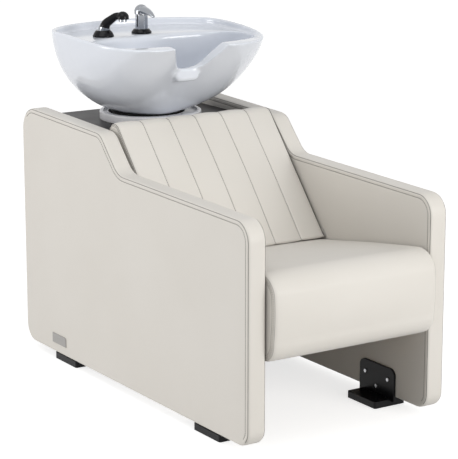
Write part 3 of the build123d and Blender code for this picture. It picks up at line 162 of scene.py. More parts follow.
# Seat
SEAT_HALF_WIDTH = 0.2535
SEAT_CROWN = 0.007
SEAT_CROWN_POWER = 4
# Its outline from the side, as how far back and how high, starting at the rear end of its bottom.
SEAT_REAR = 0.575
SEAT_BOTTOM = 0.242
SEAT_FRONT_LOW = (0.012, SEAT_BOTTOM)
SEAT_LOW_BULGE = (-0.020, 0.262)
SEAT_FACE_LOW = (-0.031, 0.300)
SEAT_FACE_BULGE = (-0.036, 0.372)
SEAT_FACE_HIGH = (-0.033, 0.425)
SEAT_NOSE_BULGE = (-0.009, 0.457)
SEAT_FRONT_TOP = (0.042, 0.468)
SEAT_TOP_BULGE = (0.230, 0.441)
SEAT_BREAK = (0.400, 0.413)
SEAT_REAR_TOP = (SEAT_REAR, 0.387)
SEAT_BOTTOM_STEPS = 36
SEAT_LOW_STEPS = 12
SEAT_FACE_STEPS = 16
SEAT_NOSE_STEPS = 14
SEAT_TOP_STEPS = 40
SEAT_SLOPE_STEPS = 18
SEAT_REAR_STEPS = 12
SEAT_STATION_STEPS = 44
SEAT_SEAM_RANGE = (30, 130)
SEAT_FACE_CROWN = 0.2
SEAT_TOP_CROWN = 0.3

# Cloth
# A stride takes every so many points of the outline as a row of the cloth.
CLOTH_PRESSURE = 4.0
CLOTH_FRAMES = 20
CLOTH_STEP = 0.006
CLOTH_QUALITY = 6
CLOTH_MASS = 0.3
CLOTH_TENSION = 30.0
CLOTH_SHEAR = 12.0
CLOTH_BENDING = 1.5
SEWN_TOLERANCE = 0.001
BACK_CLOTH_STRIDE = 3
BACK_CLOTH_FREE = (0, 70)
# The rows of the back's cloth whose mean gives the puff across all its channels.
BACK_CLOTH_EVEN = (4, 10)
SEAT_CLOTH_STRIDE = 2
SEAT_CLOTH_FREE = (39, 132)
CLOTH_SMOOTH_ROUNDS = 3
LEAST_LIFT = 1e-6
# The most that the cloth stands out on each cushion.
SEAT_PUFF = 0.0075
BACK_PUFF = 0.0026

# Basin and taps
BASIN_VOXEL = 0.0028
BASIN_SMOOTH_ROUNDS = 14
BLEND_ROUNDS = 60
BLEND_FADE = 3.0
BLEND_STRENGTH = 0.6
MELT_STRENGTH = 0.5
LEDGE_BLEND_MIDDLE = (0.0, 0.405, 0.930)
LEDGE_BLEND_REACH = (0.250, 0.052, 0.030)
HANDSET_VOXEL = 0.0009
HANDSET_SMOOTH_ROUNDS = 6
LEVER_VOXEL = 0.0006
LEVER_SMOOTH_ROUNDS = 10

# Camera and light
CAMERA_PLACE = (-2.8475, -4.4202, 1.6651)
CAMERA_AZIMUTH = math.radians(-32.945)
CAMERA_ELEVATION = math.radians(13.151)
CAMERA_LENS = 152.14
SENSOR_WIDTH = 36.0
VIEW_DISTANCE = 60.0
FLOOR_HALF = 14.0
FLOOR_LIFT = 0.72
FLOOR_GREYS = (0.60, 0.62)
FLOOR_ROUGHNESS = 0.9
FLOOR_DUST = (2.0, 2.0, 0.5)
WORLD_LIGHT = 0.50
# Each light: name, place, point it looks at, size, power, colour.
LIGHTS = (
    ("key", (1.2, -4.4, 1.3), (0.0, 0.0, 0.5), 2.2, 108.0, (1.0, 0.99, 0.97)),
    ("fill", (-4.3, 1.2, 0.95), (0.0, 0.1, 0.5), 1.8, 72.0, (1.0, 0.985, 0.97)),
    ("top", (-1.2, -0.6, 3.4), (0.0, 0.0, 0.5), 2.4, 32.0, (0.98, 0.99, 1.0)),
)

# Leatherette and thread
# Each noise is given by its scale, its detail and its roughness.
LEATHER_COLOURS = ((0.640, 0.610, 0.560), (0.690, 0.664, 0.622))
LEATHER_ROUGHNESS = (0.42, 0.58)
LEATHER_SPECULAR = 0.38
LEATHER_SHEEN = 0.06
GRAIN_SCALE = 620.0
GRAIN_SMOOTHNESS = 0.6
GRAIN_STRENGTH = 0.28
GRAIN_DEPTH = 0.0003
CREASES = (28.0, 6.0, 0.62)
CREASE_STRENGTH = 0.25
CREASE_DEPTH = 0.0012
CLOUD = (3.2, 2.0, 0.5)
THREAD_COLOUR = (0.055, 0.048, 0.040)
THREAD_DARKER = 0.7
THREAD_ROUGHNESS = 0.75
TWIST = (1900.0, 1.0, 0.5)
TWIST_STRENGTH = 0.5
TWIST_DEPTH = 0.0002

# Glaze
GLAZE_COLOUR = (0.70, 0.73, 0.79)
GLAZE_DARKER = 0.985
GLAZE_ROUGHNESS = (0.10, 0.16)
GLAZE_SPECULAR = 0.55
GLAZE_COAT = 0.35
GLAZE_COAT_ROUGHNESS = 0.06
GLAZE_WAVES = (9.0, 2.0, 0.4)
GLAZE_WAVE_STRENGTH = 0.10
GLAZE_WAVE_DEPTH = 0.0030
GLAZE_SPECKS = (60.0, 2.0, 0.5)

# Plastic, metal and board
# Each plastic: colour, roughness, specular, edge radius, texture scale, texture depth.
PLASTICS = {
    "white_plastic": ((0.84, 0.84, 0.86), 0.30, 0.40, 0.0015, 300.0, 0.00005),
    "deck_laminate": ((0.030, 0.028, 0.029), 0.38, 0.08, 0.0008, 900.0, 0.0001),
    "cover_laminate": ((0.050, 0.047, 0.048), 0.50, 0.30, 0.0008, 900.0, 0.0001),
    "gloss_black": ((0.005, 0.005, 0.006), 0.14, 0.16, 0.0012, 120.0, 0.00004),
    "bracket_black": ((0.005, 0.005, 0.006), 0.30, 0.16, 0.0020, 260.0, 0.0001),
    "black_rubber": ((0.012, 0.012, 0.012), 0.75, 0.20, 0.0008, 700.0, 0.0002),
    "coated_steel": ((0.010, 0.010, 0.011), 0.45, 0.25, 0.0010, 500.0, 0.0001),
}
# Each metal: colour, roughness, edge radius, scale of its marks.
METALS = {
    "chrome": ((0.34, 0.355, 0.38), 0.12, 0.0006, 40.0),
    "zinc": ((0.55, 0.56, 0.58), 0.28, 0.0005, 90.0),
    "polished_steel": ((0.62, 0.62, 0.63), 0.18, 0.0008, 60.0),
    "bare_plate": ((0.30, 0.29, 0.28), 0.38, 0.0006, 220.0),
}
BEVEL_SAMPLES = 6
SMEAR = (14.0, 3.0, 0.5)
SMEAR_LIGHTER = 1.25
SMEAR_LIFT = 0.002
PLASTIC_GRIT = (4.0, 0.6)
PLASTIC_GLOSS_SHARES = (0.85, 1.2)
PLASTIC_BUMP = 0.3
METAL_MARKS = (3.0, 0.6)
METAL_GLOSS_SHARES = (0.7, 1.3)
METAL_BUMP = 0.05
METAL_MARK_DEPTH = 0.0002
BOARD_FIGURE = (11.0, 5.0, 0.6)
BOARD_STRETCH = (1.0, 0.12, 1.0)
BOARD_COLOURS = ((0.42, 0.29, 0.16), (0.62, 0.47, 0.30))
BOARD_ROUGHNESS = 0.7
BOARD_BUMP = 0.2
BOARD_DEPTH = 0.0006


# Materials


def new_material(name):
    """An empty material with a principled shader, its node tree and that shader."""
    material = bpy.data.materials.new(name)
    material.use_nodes = True
    nodes = material.node_tree.nodes
    shader = nodes.get("Principled BSDF")
    return material, material.node_tree, shader


def object_coordinates(tree):
    """The place in the part's own frame, as a texture coordinate."""
    return tree.nodes.new("ShaderNodeTexCoord").outputs["Object"]


def noise(tree, scale, detail, roughness):
    """A noise texture laid in the part's own frame."""
    node = tree.nodes.new("ShaderNodeTexNoise")
    node.inputs["Scale"].default_value = scale
    node.inputs["Detail"].default_value = detail
    node.inputs["Roughness"].default_value = roughness
    tree.links.new(object_coordinates(tree), node.inputs["Vector"])
    return node


def spread(tree, source, low, high):
    """A value from zero to one, spread from low to high."""
    node = tree.nodes.new("ShaderNodeMapRange")
    node.inputs["To Min"].default_value = low
    node.inputs["To Max"].default_value = high
    tree.links.new(source, node.inputs["Value"])
    return node.outputs["Result"]


def tint(tree, source, first, second):
    """A colour that runs from first to second."""
    node = tree.nodes.new("ShaderNodeMix")
    node.data_type = "RGBA"
    node.inputs["A"].default_value = (*first, 1.0)
    node.inputs["B"].default_value = (*second, 1.0)
    tree.links.new(source, node.inputs["Factor"])
    return node.outputs["Result"]


def bump(tree, height, strength, distance, normal=None):
    """A bump made from a height, on top of another normal if there is one."""
    node = tree.nodes.new("ShaderNodeBump")
    node.inputs["Strength"].default_value = strength
    node.inputs["Distance"].default_value = distance
    tree.links.new(height, node.inputs["Height"])
    if normal is not None:
        tree.links.new(normal, node.inputs["Normal"])
    return node.outputs["Normal"]


def rounded_edges(tree, radius):
    """A normal that softens sharp edges by a small radius."""
    node = tree.nodes.new("ShaderNodeBevel")
    node.samples = BEVEL_SAMPLES
    node.inputs["Radius"].default_value = radius
    return node.outputs["Normal"]


def leather(name):
    """Leatherette: a fine pebbled grain, faint creases and a soft sheen."""
    material, tree, shader = new_material(name)
    grain = tree.nodes.new("ShaderNodeTexVoronoi")
    grain.feature = "SMOOTH_F1"
    grain.inputs["Scale"].default_value = GRAIN_SCALE
    grain.inputs["Smoothness"].default_value = GRAIN_SMOOTHNESS
    tree.links.new(object_coordinates(tree), grain.inputs["Vector"])
    creases = noise(tree, *CREASES)
    cloud = noise(tree, *CLOUD)
    colour = tint(tree, cloud.outputs["Fac"], *LEATHER_COLOURS)
    tree.links.new(colour, shader.inputs["Base Color"])
    gloss = spread(tree, creases.outputs["Fac"], *LEATHER_ROUGHNESS)
    tree.links.new(gloss, shader.inputs["Roughness"])
    shader.inputs["Specular IOR Level"].default_value = LEATHER_SPECULAR
    shader.inputs["Sheen Weight"].default_value = LEATHER_SHEEN
    folds = bump(tree, creases.outputs["Fac"], CREASE_STRENGTH, CREASE_DEPTH)
    pebbles = bump(tree, grain.outputs["Distance"], GRAIN_STRENGTH, GRAIN_DEPTH, folds)
    tree.links.new(pebbles, shader.inputs["Normal"])
    return material


def thread(name, colour):
    """Twisted sewing thread."""
    material, tree, shader = new_material(name)
    twist = noise(tree, *TWIST)
    darker = tuple(value * THREAD_DARKER for value in colour)
    tree.links.new(tint(tree, twist.outputs["Fac"], darker, colour), shader.inputs["Base Color"])
    shader.inputs["Roughness"].default_value = THREAD_ROUGHNESS
    strands = bump(tree, twist.outputs["Fac"], TWIST_STRENGTH, TWIST_DEPTH)
    tree.links.new(strands, shader.inputs["Normal"])
    return material


def glaze(name, colour):
    """White fired glaze, hardly uneven, over a pale body."""
    material, tree, shader = new_material(name)
    waves = noise(tree, *GLAZE_WAVES)
    specks = noise(tree, *GLAZE_SPECKS)
    second = tuple(value * GLAZE_DARKER for value in colour)
    tree.links.new(tint(tree, specks.outputs["Fac"], colour, second), shader.inputs["Base Color"])
    gloss = spread(tree, specks.outputs["Fac"], *GLAZE_ROUGHNESS)
    tree.links.new(gloss, shader.inputs["Roughness"])
    shader.inputs["Specular IOR Level"].default_value = GLAZE_SPECULAR
    shader.inputs["Coat Weight"].default_value = GLAZE_COAT
    shader.inputs["Coat Roughness"].default_value = GLAZE_COAT_ROUGHNESS
    ripples = bump(tree, waves.outputs["Fac"], GLAZE_WAVE_STRENGTH, GLAZE_WAVE_DEPTH)
    tree.links.new(ripples, shader.inputs["Normal"])
    return material


def plastic(name, colour, roughness, specular, edge, texture_scale, texture_depth):
    """Moulded plastic or laminate with a fine surface texture and slightly rounded edges."""
    material, tree, shader = new_material(name)
    grit = noise(tree, texture_scale, *PLASTIC_GRIT)
    smear = noise(tree, *SMEAR)
    lighter = tuple(value * SMEAR_LIGHTER + SMEAR_LIFT for value in colour)
    tree.links.new(tint(tree, smear.outputs["Fac"], colour, lighter), shader.inputs["Base Color"])
    smoothest, dullest = (roughness * share for share in PLASTIC_GLOSS_SHARES)
    gloss = spread(tree, smear.outputs["Fac"], smoothest, dullest)
    tree.links.new(gloss, shader.inputs["Roughness"])
    shader.inputs["Specular IOR Level"].default_value = specular
    edges = rounded_edges(tree, edge)
    surface = bump(tree, grit.outputs["Fac"], PLASTIC_BUMP, texture_depth, edges)
    tree.links.new(surface, shader.inputs["Normal"])
    return material


def metal(name, colour, roughness, edge, mark_scale):
    """Metal with faint wiping marks and slightly rounded edges."""
    material, tree, shader = new_material(name)
    marks = noise(tree, mark_scale, *METAL_MARKS)
    shader.inputs["Base Color"].default_value = (*colour, 1.0)
    shader.inputs["Metallic"].default_value = 1.0
    smoothest, dullest = (roughness * share for share in METAL_GLOSS_SHARES)
    gloss = spread(tree, marks.outputs["Fac"], smoothest, dullest)
    tree.links.new(gloss, shader.inputs["Roughness"])
    edges = rounded_edges(tree, edge)
    surface = bump(tree, marks.outputs["Fac"], METAL_BUMP, METAL_MARK_DEPTH, edges)
    tree.links.new(surface, shader.inputs["Normal"])
    return material


def plywood(name):
    """Plain birch plywood boards."""
    material, tree, shader = new_material(name)
    figure = noise(tree, *BOARD_FIGURE)
    stretch = tree.nodes.new("ShaderNodeMapping")
    stretch.inputs["Scale"].default_value = BOARD_STRETCH
    tree.links.new(object_coordinates(tree), stretch.inputs["Vector"])
    tree.links.new(stretch.outputs["Vector"], figure.inputs["Vector"])
    colour = tint(tree, figure.outputs["Fac"], *BOARD_COLOURS)
    tree.links.new(colour, shader.inputs["Base Color"])
    shader.inputs["Roughness"].default_value = BOARD_ROUGHNESS
    surface = bump(tree, figure.outputs["Fac"], BOARD_BUMP, BOARD_DEPTH)
    tree.links.new(surface, shader.inputs["Normal"])
    return material


cream = leather("cream_leatherette")
dark_thread = thread("dark_thread", THREAD_COLOUR)
white_glaze = glaze("white_glaze", GLAZE_COLOUR)
made = {}
for made_name, looks in PLASTICS.items():
    made[made_name] = plastic(made_name, *looks)
for made_name, looks in METALS.items():
    made[made_name] = metal(made_name, *looks)
birch = plywood("birch_plywood")

MATERIAL_OF_SLOT = {
    "leatherette": cream,
    "board": birch,
    "dark_deck": made["deck_laminate"],
    "dark_cover": made["cover_laminate"],
    "steel": made["coated_steel"],
    "bracket_black": made["bracket_black"],
    "screw_steel": made["zinc"],
    "rubber_black": made["black_rubber"],
    "collar_white": made["white_plastic"],
    "basin_white": white_glaze,
    "chrome": made["chrome"],
    "tap_black": made["gloss_black"],
    "waste_steel": made["polished_steel"],
    "plate_metal": made["bare_plate"],
}


# Dressing the solids that stay as they are


def set_material(piece, material):
    """Gives a piece one material."""
    piece.data.materials.clear()
    piece.data.materials.append(material)


slot_of_node = {entry["node"]: entry["material_slot"] for entry in frame["record"]["subparts"]}
for node_name, node in frame["nodes"].items():
    set_material(node, MATERIAL_OF_SLOT[slot_of_node[node_name]])


# Building meshes


def closed_mesh(name, points, faces):
    """A mesh of closed skins with every face turned outward."""
    mesh = bpy.data.meshes.new(name)
    mesh.from_pydata([tuple(point) for point in points], [], faces)
    working = bmesh.new()
    working.from_mesh(mesh)
    bmesh.ops.recalc_face_normals(working, faces=working.faces)
    working.to_mesh(mesh)
    working.free()
    mesh.update()
    return mesh


def add_mesh(name, points, faces, material, body):
    """A new piece made of points and faces, riding on a body."""
    mesh = closed_mesh(name, points, faces)
    piece = bpy.data.objects.new(name, mesh)
    bpy.context.scene.collection.objects.link(piece)
    piece.data.materials.append(material)
    mesh.shade_smooth()
    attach(piece, body)
    return piece


def stacked_loops(loops):
    """Points and faces of a closed skin through loops of equal length, capped at both ends."""
    count = len(loops[0])
    points = [point for loop in loops for point in loop]
    faces = []
    for row in range(len(loops) - 1):
        low = row * count
        high = low + count
        for step in range(count):
            following = (step + 1) % count
            faces.append((low + step, low + following, high + following, high + step))
    faces.append(tuple(reversed(range(count))))
    last = (len(loops) - 1) * count
    faces.append(tuple(range(last, last + count)))
    return points, faces


def rounded_outline(corners):
    """Points round a closed outline of corners, and which point is the middle of each corner."""
    count = len(corners)
    outline = []
    middles = []
    stretches = []
    for index, (back, height, radius) in enumerate(corners):
        here = Vector((FRONT_Y + back, height))
        before = Vector((FRONT_Y + corners[index - 1][0], corners[index - 1][1]))
        after_corner = corners[(index + 1) % count]
        after = Vector((FRONT_Y + after_corner[0], after_corner[1]))
        incoming = (before - here).normalized()
        outgoing = (after - here).normalized()
        opening = incoming.angle(outgoing)
        reach = radius / math.tan(opening / 2)
        start = here + incoming * reach
        end = here + outgoing * reach
        centre = here + (incoming + outgoing).normalized() * (radius / math.sin(opening / 2))
        first = start - centre
        turn = first.angle(end - centre)
        side = 1.0 if first.cross(end - centre) > 0 else -1.0
        steps = max(2, round(radius * turn / ARC_STEP))
        arc = []
        for step in range(steps + 1):
            angle = side * turn * step / steps
            arc.append(centre + Matrix.Rotation(angle, 2) @ first)
        stretches.append(arc)
    for index, arc in enumerate(stretches):
        middles.append(len(outline) + len(arc) // 2)
        outline.extend(arc)
        following = stretches[(index + 1) % count][0]
        gap = following - arc[-1]
        steps = max(1, round(gap.length / LINE_STEP))
        for step in range(1, steps):
            outline.append(arc[-1] + gap * step / steps)
    return outline, middles


def outward_normals(outline):
    """The outward direction at each point of a closed outline."""
    area = 0.0
    count = len(outline)
    for index in range(count):
        here = outline[index]
        following = outline[(index + 1) % count]
        area += here[0] * following[1] - following[0] * here[1]
    sense = 1.0 if area > 0 else -1.0
    normals = []
    for index in range(count):
        along = (outline[(index + 1) % count] - outline[index - 1]).normalized()
        normals.append(Vector((along[1], -along[0])) * sense)
    return normals


def placed(x, outline, normals, inset):
    """An outline drawn in by an inset and placed across the part at x."""
    loop = []
    for point, normal in zip(outline, normals):
        moved = point - normal * inset
        loop.append(Vector((x, moved[0], moved[1])))
    return loop


def along_path(path, pitch):
    """Points and directions at an even pitch along a path."""
    lengths = [0.0]
    for first, second in zip(path[:-1], path[1:]):
        lengths.append(lengths[-1] + (second - first).length)
    count = int(lengths[-1] / pitch)
    found = []
    index = 0
    for step in range(count):
        target = (step + 0.5) * lengths[-1] / count
        while lengths[index + 1] < target:
            index += 1
        share = (target - lengths[index]) / (lengths[index + 1] - lengths[index])
        direction = (path[index + 1] - path[index]).normalized()
        found.append((path[index].lerp(path[index + 1], share), direction))
    return found


def ring(centre, aside, other, radius):
    """A small ring of points in the plane of two directions."""
    points = []
    for step in range(THREAD_SIDES):
        angle = 2 * math.pi * step / THREAD_SIDES
        points.append(centre + (aside * math.cos(angle) + other * math.sin(angle)) * radius)
    return points


def stitches(name, paths, body):
    """A row of single stitches along each path, as one piece."""
    points = []
    faces = []
    for path in paths:
        for centre, direction in along_path(path, STITCH_PITCH):
            aside = direction.orthogonal().normalized()
            other = direction.cross(aside)
            base = len(points)
            rings = []
            for place, width in STITCH_RINGS:
                middle = centre + direction * STITCH_LENGTH * place
                rings.append(ring(middle, aside, other, THREAD_RADIUS * width))
            loop_points, loop_faces = stacked_loops(rings)
            points.extend(loop_points)
            faces.extend(tuple(base + corner for corner in face) for face in loop_faces)
    piece = add_mesh(name, points, faces, dark_thread, body)


def seam_thread_and_shade(name, paths, body):
    """A dark cord of thread along the bottom of each seam, as one piece; it is partly painted
    shade that darkens the seam's crease.
    """
    points = []
    faces = []
    for path in paths:
        base = len(points)
        rings = []
        last = len(path) - 1
        for index in range(len(path)):
            before = path[max(index - 1, 0)]
            after = path[min(index + 1, last)]
            direction = (after - before).normalized()
            across = Vector((1.0, 0.0, 0.0))
            aside = (across - direction * across.dot(direction)).normalized()
            other = direction.cross(aside)
            rings.append(ring(path[index], aside, other, SEAM_THREAD_RADIUS))
        loop_points, loop_faces = stacked_loops(rings)
        points.extend(loop_points)
        faces.extend(tuple(base + corner for corner in face) for face in loop_faces)
    piece = add_mesh(name, points, faces, dark_thread, body)


# Cloth


def inflated(points, faces, held):
    """Where a skin's points go when it is blown up a little, with some of them held."""
    mesh = closed_mesh("cloth_trial", points, faces)
    trial = bpy.data.objects.new("cloth_trial", mesh)
    scene = bpy.context.scene
    scene.collection.objects.link(trial)
    group = trial.vertex_groups.new(name="held")
    group.add(held, 1.0, "REPLACE")
    cloth = trial.modifiers.new("cloth", "CLOTH")
    settings = cloth.settings
    settings.quality = CLOTH_QUALITY
    settings.mass = CLOTH_MASS
    settings.tension_stiffness = CLOTH_TENSION
    settings.compression_stiffness = CLOTH_TENSION
    settings.shear_stiffness = CLOTH_SHEAR
    settings.bending_stiffness = CLOTH_BENDING
    settings.use_pressure = True
    settings.uniform_pressure_force = CLOTH_PRESSURE
    settings.vertex_group_mass = "held"
    settings.effector_weights.gravity = 0.0
    cloth.collision_settings.use_collision = False
    cloth.point_cache.frame_start = 1
    cloth.point_cache.frame_end = CLOTH_FRAMES
    for step in range(1, CLOTH_FRAMES + 1):
        scene.frame_set(step)
    blown = trial.evaluated_get(bpy.context.evaluated_depsgraph_get())
    places = [vertex.co.copy() for vertex in blown.data.vertices]
    bpy.data.objects.remove(trial)
    bpy.data.meshes.remove(mesh)
    scene.frame_set(1)
    return places


def cloth_puff(half_width, profile, normals, sewn_lines, stride, free, most):
    """How far a simulated skin, held at its seams, stands out of a cushion's outline."""
    rows = list(range(0, len(profile), stride))
    marks = sorted({-half_width, half_width, *sewn_lines})
    stations = []
    for first, second in zip(marks[:-1], marks[1:]):
        steps = max(2, round((second - first) / CLOTH_STEP))
        stations.extend(first + (second - first) * step / steps for step in range(steps))
    stations.append(half_width)
    loops = []
    for x in stations:
        loops.append([Vector((x, profile[row][0], profile[row][1])) for row in rows])
    points, faces = stacked_loops(loops)
    held = []
    for column, x in enumerate(stations):
        sewn = any(abs(x - mark) < SEWN_TOLERANCE for mark in marks)
        for place, row in enumerate(rows):
            if sewn or row < free[0] or row >= free[1]:
                held.append(column * len(rows) + place)
    places = inflated(points, faces, held)
    lifts = np.zeros((len(stations), len(rows)))
    for column in range(len(stations)):
        for place, row in enumerate(rows):
            index = column * len(rows) + place
            move = places[index] - points[index]
            lifts[column, place] = move[1] * normals[row][0] + move[2] * normals[row][1]
    lifts = np.clip(lifts, 0.0, None)
    for _ in range(CLOTH_SMOOTH_ROUNDS):
        lifts[:, 1:-1] = (lifts[:, :-2] + 2 * lifts[:, 1:-1] + lifts[:, 2:]) / 4
    lifts *= most / max(lifts.max(), LEAST_LIFT)
    return np.array(stations), np.array(rows), lifts


def puff_at(puff, x, index):
    """The simulated lift at one place of a cushion."""
    stations, rows, lifts = puff
    across = np.interp(x, stations, np.arange(len(stations)))
    along = np.interp(index, rows, np.arange(len(rows)))
    column = min(int(across), len(stations) - 2)
    row = min(int(along), len(rows) - 2)
    share_x = across - column
    share_row = along - row
    near = lifts[column, row] * (1 - share_x) + lifts[column + 1, row] * share_x
    far = lifts[column, row + 1] * (1 - share_x) + lifts[column + 1, row + 1] * share_x
    return near * (1 - share_row) + far * share_row


# Side panels

panel_outline, panel_middles = rounded_outline(PANEL_CORNERS)
panel_normals = outward_normals(panel_outline)
sewn_start = panel_middles[SEWN_FIRST_CORNER]
sewn_end = panel_middles[SEWN_LAST_CORNER]


def panel_loop(side, face_x, inward, inset, depth, groove):
    """A loop of a side panel near one face, sunk a little more where it is sewn."""
    loop = placed(face_x + side * inward * depth, panel_outline, panel_normals, inset)
    for index in range(sewn_start, sewn_end + 1):
        loop[index].x += side * inward * groove
    return loop


def side_panel(side, name):
    """One upholstered side panel, with double seams along its top and its front."""
    loops = []
    for inset, depth, groove in PANEL_EDGE:
        loops.append(panel_loop(side, side * PANEL_INNER_X, 1, inset, depth, groove))
    for inset, depth, groove in reversed(PANEL_EDGE):
        loops.append(panel_loop(side, side * PANEL_OUTER_X, -1, inset, depth, groove))
    if side > 0:
        loops = [list(reversed(loop)) for loop in loops]
    points, faces = stacked_loops(loops)
    panel = add_mesh(f"panel_upholstery_{name}", points, faces, cream, "frame")
    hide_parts(f"side_panel_cover_{name}")
    topstitch = []
    seams = []
    for face_x, inward in ((side * PANEL_INNER_X, side), (side * PANEL_OUTER_X, -side)):
        x = face_x + inward * TOPSTITCH_DEPTH
        row = placed(x, panel_outline, panel_normals, TOPSTITCH_INSET)
        topstitch.append(row[sewn_start : sewn_end + 1])
        # The dark cord in each corner seam is thread and painted shade in the seam's crease.
        x = face_x + inward * CORNER_SEAM_DEPTH
        seam = placed(x, panel_outline, panel_normals, CORNER_SEAM_INSET)
        seams.append(seam[sewn_start : sewn_end + 1])
    stitches(f"panel_topstitch_{name}", topstitch, "frame")
    seam_thread_and_shade(f"panel_seam_thread_and_shade_{name}", seams, "frame")


side_panel(1, "left")
side_panel(-1, "right")


# Back pad

BACK_OUT = Vector((-math.sin(BACK_ANGLE), math.cos(BACK_ANGLE)))
BACK_UP = Vector((math.cos(BACK_ANGLE), math.sin(BACK_ANGLE)))


def back_profile():
    """The back pad from the side: points, outward directions, shares of crown and channels."""
    centre = Vector((BACK_ROLL_Y, BACK_ROLL_Z))
    points = []
    crowns = []
    channels = []
    for step in range(BACK_FACE_STEPS):
        share = step / BACK_FACE_STEPS
        along = BACK_FOOT_ALONG * (1 - share)
        points.append(centre + BACK_UP * along + BACK_OUT * BACK_HALF_THICKNESS)
        crowns.append(math.sin(math.pi * share) ** BACK_CROWN_POWER)
        channels.append(1.0)
    for step in range(BACK_ROLL_STEPS + 1):
        turned = step / BACK_ROLL_STEPS
        angle = math.pi * turned
        direction = BACK_OUT * math.cos(angle) + BACK_UP * math.sin(angle)
        points.append(centre + direction * BACK_HALF_THICKNESS)
        crowns.append(0.0)
        channels.append(min(1.0, (1.0 - turned) / (1.0 - BACK_SEWN_ROLL_SHARE)))
    for step in range(1, BACK_REAR_STEPS + 1):
        share = step / BACK_REAR_STEPS
        along = BACK_REAR_FOOT_ALONG * share
        points.append(centre + BACK_UP * along - BACK_OUT * BACK_HALF_THICKNESS)
        crowns.append(0.0)
        channels.append(0.0)
    first = points[0]
    last = points[-1]
    for step in range(1, BACK_FOOT_STEPS):
        points.append(last.lerp(first, step / BACK_FOOT_STEPS))
        crowns.append(0.0)
        channels.append(0.0)
    return points, outward_normals(points), crowns, channels


def channel_groove(x):
    """How deep the thread draws the skin in near each sewn line."""
    nearest = min(abs(x - line * CHANNEL_WIDTH) for line in CHANNEL_LINES)
    return -CHANNEL_GROOVE * math.exp(-((nearest / CHANNEL_GROOVE_WIDTH) ** 2))


def channel_height(x):
    """How far the sewn channels stand out at one place across the back."""
    outer_line = CHANNEL_LINES[-1] * CHANNEL_WIDTH
    if abs(x) > outer_line:
        width = BACK_HALF_WIDTH - outer_line
        share = (abs(x) - outer_line) / width
    else:
        share = (abs(x) % CHANNEL_WIDTH) / CHANNEL_WIDTH
    roundness = math.sin(math.pi * share) ** CHANNEL_ROUNDNESS
    return CHANNEL_PUFF * (roundness - 1.0) + channel_groove(x)


def cushion_loops(half_width, stations, profile, normals, lift):
    """Loops across a cushion: crowned between its sides, with a sewn gusset at each side."""
    loops = []
    for x_in, inset in reversed(CUSHION_EDGE):
        loops.append((-(half_width - x_in), inset))
    for x in stations:
        loops.append((x, 0.0))
    for x_in, inset in CUSHION_EDGE:
        loops.append((half_width - x_in, inset))
    result = []
    for x, inset in loops:
        loop = []
        for index, (point, normal) in enumerate(zip(profile, normals)):
            moved = point + normal * (lift(x, index) - inset)
            loop.append(Vector((x, moved[0], moved[1])))
        result.append(loop)
    return result


def cushion_seams(name, half_width, profile, normals, sewn_range, body):
    """The corner seam and the rows of topstitch of a cushion's gusset, on both sides."""
    seams = []
    topstitch = []
    start, end = sewn_range
    for side in (-1, 1):
        seam = placed(side * (half_width - CUSHION_SEAM_X), profile, normals, CUSHION_SEAM_INSET)
        seams.append(seam[start:end])
        for depth, inset in CUSHION_TOPSTITCH:
            row = placed(side * (half_width - depth), profile, normals, inset)
            topstitch.append(row[start:end])
    # The dark cord in each gusset seam is thread and painted shade in the seam's crease.
    seam_thread_and_shade(f"{name}_seam", seams, body)
    stitches(f"{name}_topstitch", topstitch, body)


back_points, back_normals, back_crowns, back_channels = back_profile()

back_cross = None
sewn = [line * CHANNEL_WIDTH for line in CHANNEL_LINES]
back_places, _, lifts = cloth_puff(
    BACK_HALF_WIDTH,
    back_points,
    back_normals,
    sewn,
    BACK_CLOTH_STRIDE,
    BACK_CLOTH_FREE,
    BACK_PUFF,
)
back_cross = lifts[:, BACK_CLOTH_EVEN[0] : BACK_CLOTH_EVEN[1]].mean(axis=1)


def back_lift(x, index):
    """How far the back pad's skin stands out of its plain outline."""
    crown = BACK_CROWN * (1 - (x / BACK_HALF_WIDTH) ** 2) * back_crowns[index]
    if back_cross is None:
        return crown + channel_height(x) * back_channels[index]
    puff = float(np.interp(x, back_places, back_cross))
    return crown + (puff + channel_groove(x) - BACK_PUFF) * back_channels[index]


def back_stations():
    """Places across the back, close together at each sewn line."""
    reach = BACK_HALF_WIDTH - CUSHION_EDGE[0][0]
    stations = set()
    for step in range(1, BACK_STATION_STEPS):
        stations.add(round(-reach + 2 * reach * step / BACK_STATION_STEPS, STATION_DIGITS))
    for line in CHANNEL_LINES:
        x = line * CHANNEL_WIDTH
        stations = {place for place in stations if abs(place - x) > CHANNEL_STATION_CLEARANCE}
        for offset in CHANNEL_STATION_OFFSETS:
            stations.add(round(x + offset, STATION_DIGITS))
    return sorted(stations)


loops = cushion_loops(BACK_HALF_WIDTH, back_stations(), back_points, back_normals, back_lift)
skin_points, skin_faces = stacked_loops(loops)
back_skin = add_mesh("back_upholstery", skin_points, skin_faces, cream, "frame")
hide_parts("back_pad")
cushion_seams("back", BACK_HALF_WIDTH, back_points, back_normals, BACK_SEAM_RANGE, "frame")
channel_paths = []
for line in CHANNEL_LINES:
    path = []
    x = line * CHANNEL_WIDTH
    for index in range(BACK_CHANNEL_STITCH_POINTS):
        lift = back_lift(x, index) + SEAM_THREAD_RADIUS * CHANNEL_THREAD_SINK
        moved = back_points[index] + back_normals[index] * lift
        path.append(Vector((x, moved[0], moved[1])))
    channel_paths.append(path)
stitches("back_channel_stitches", channel_paths, "frame")


# Seat


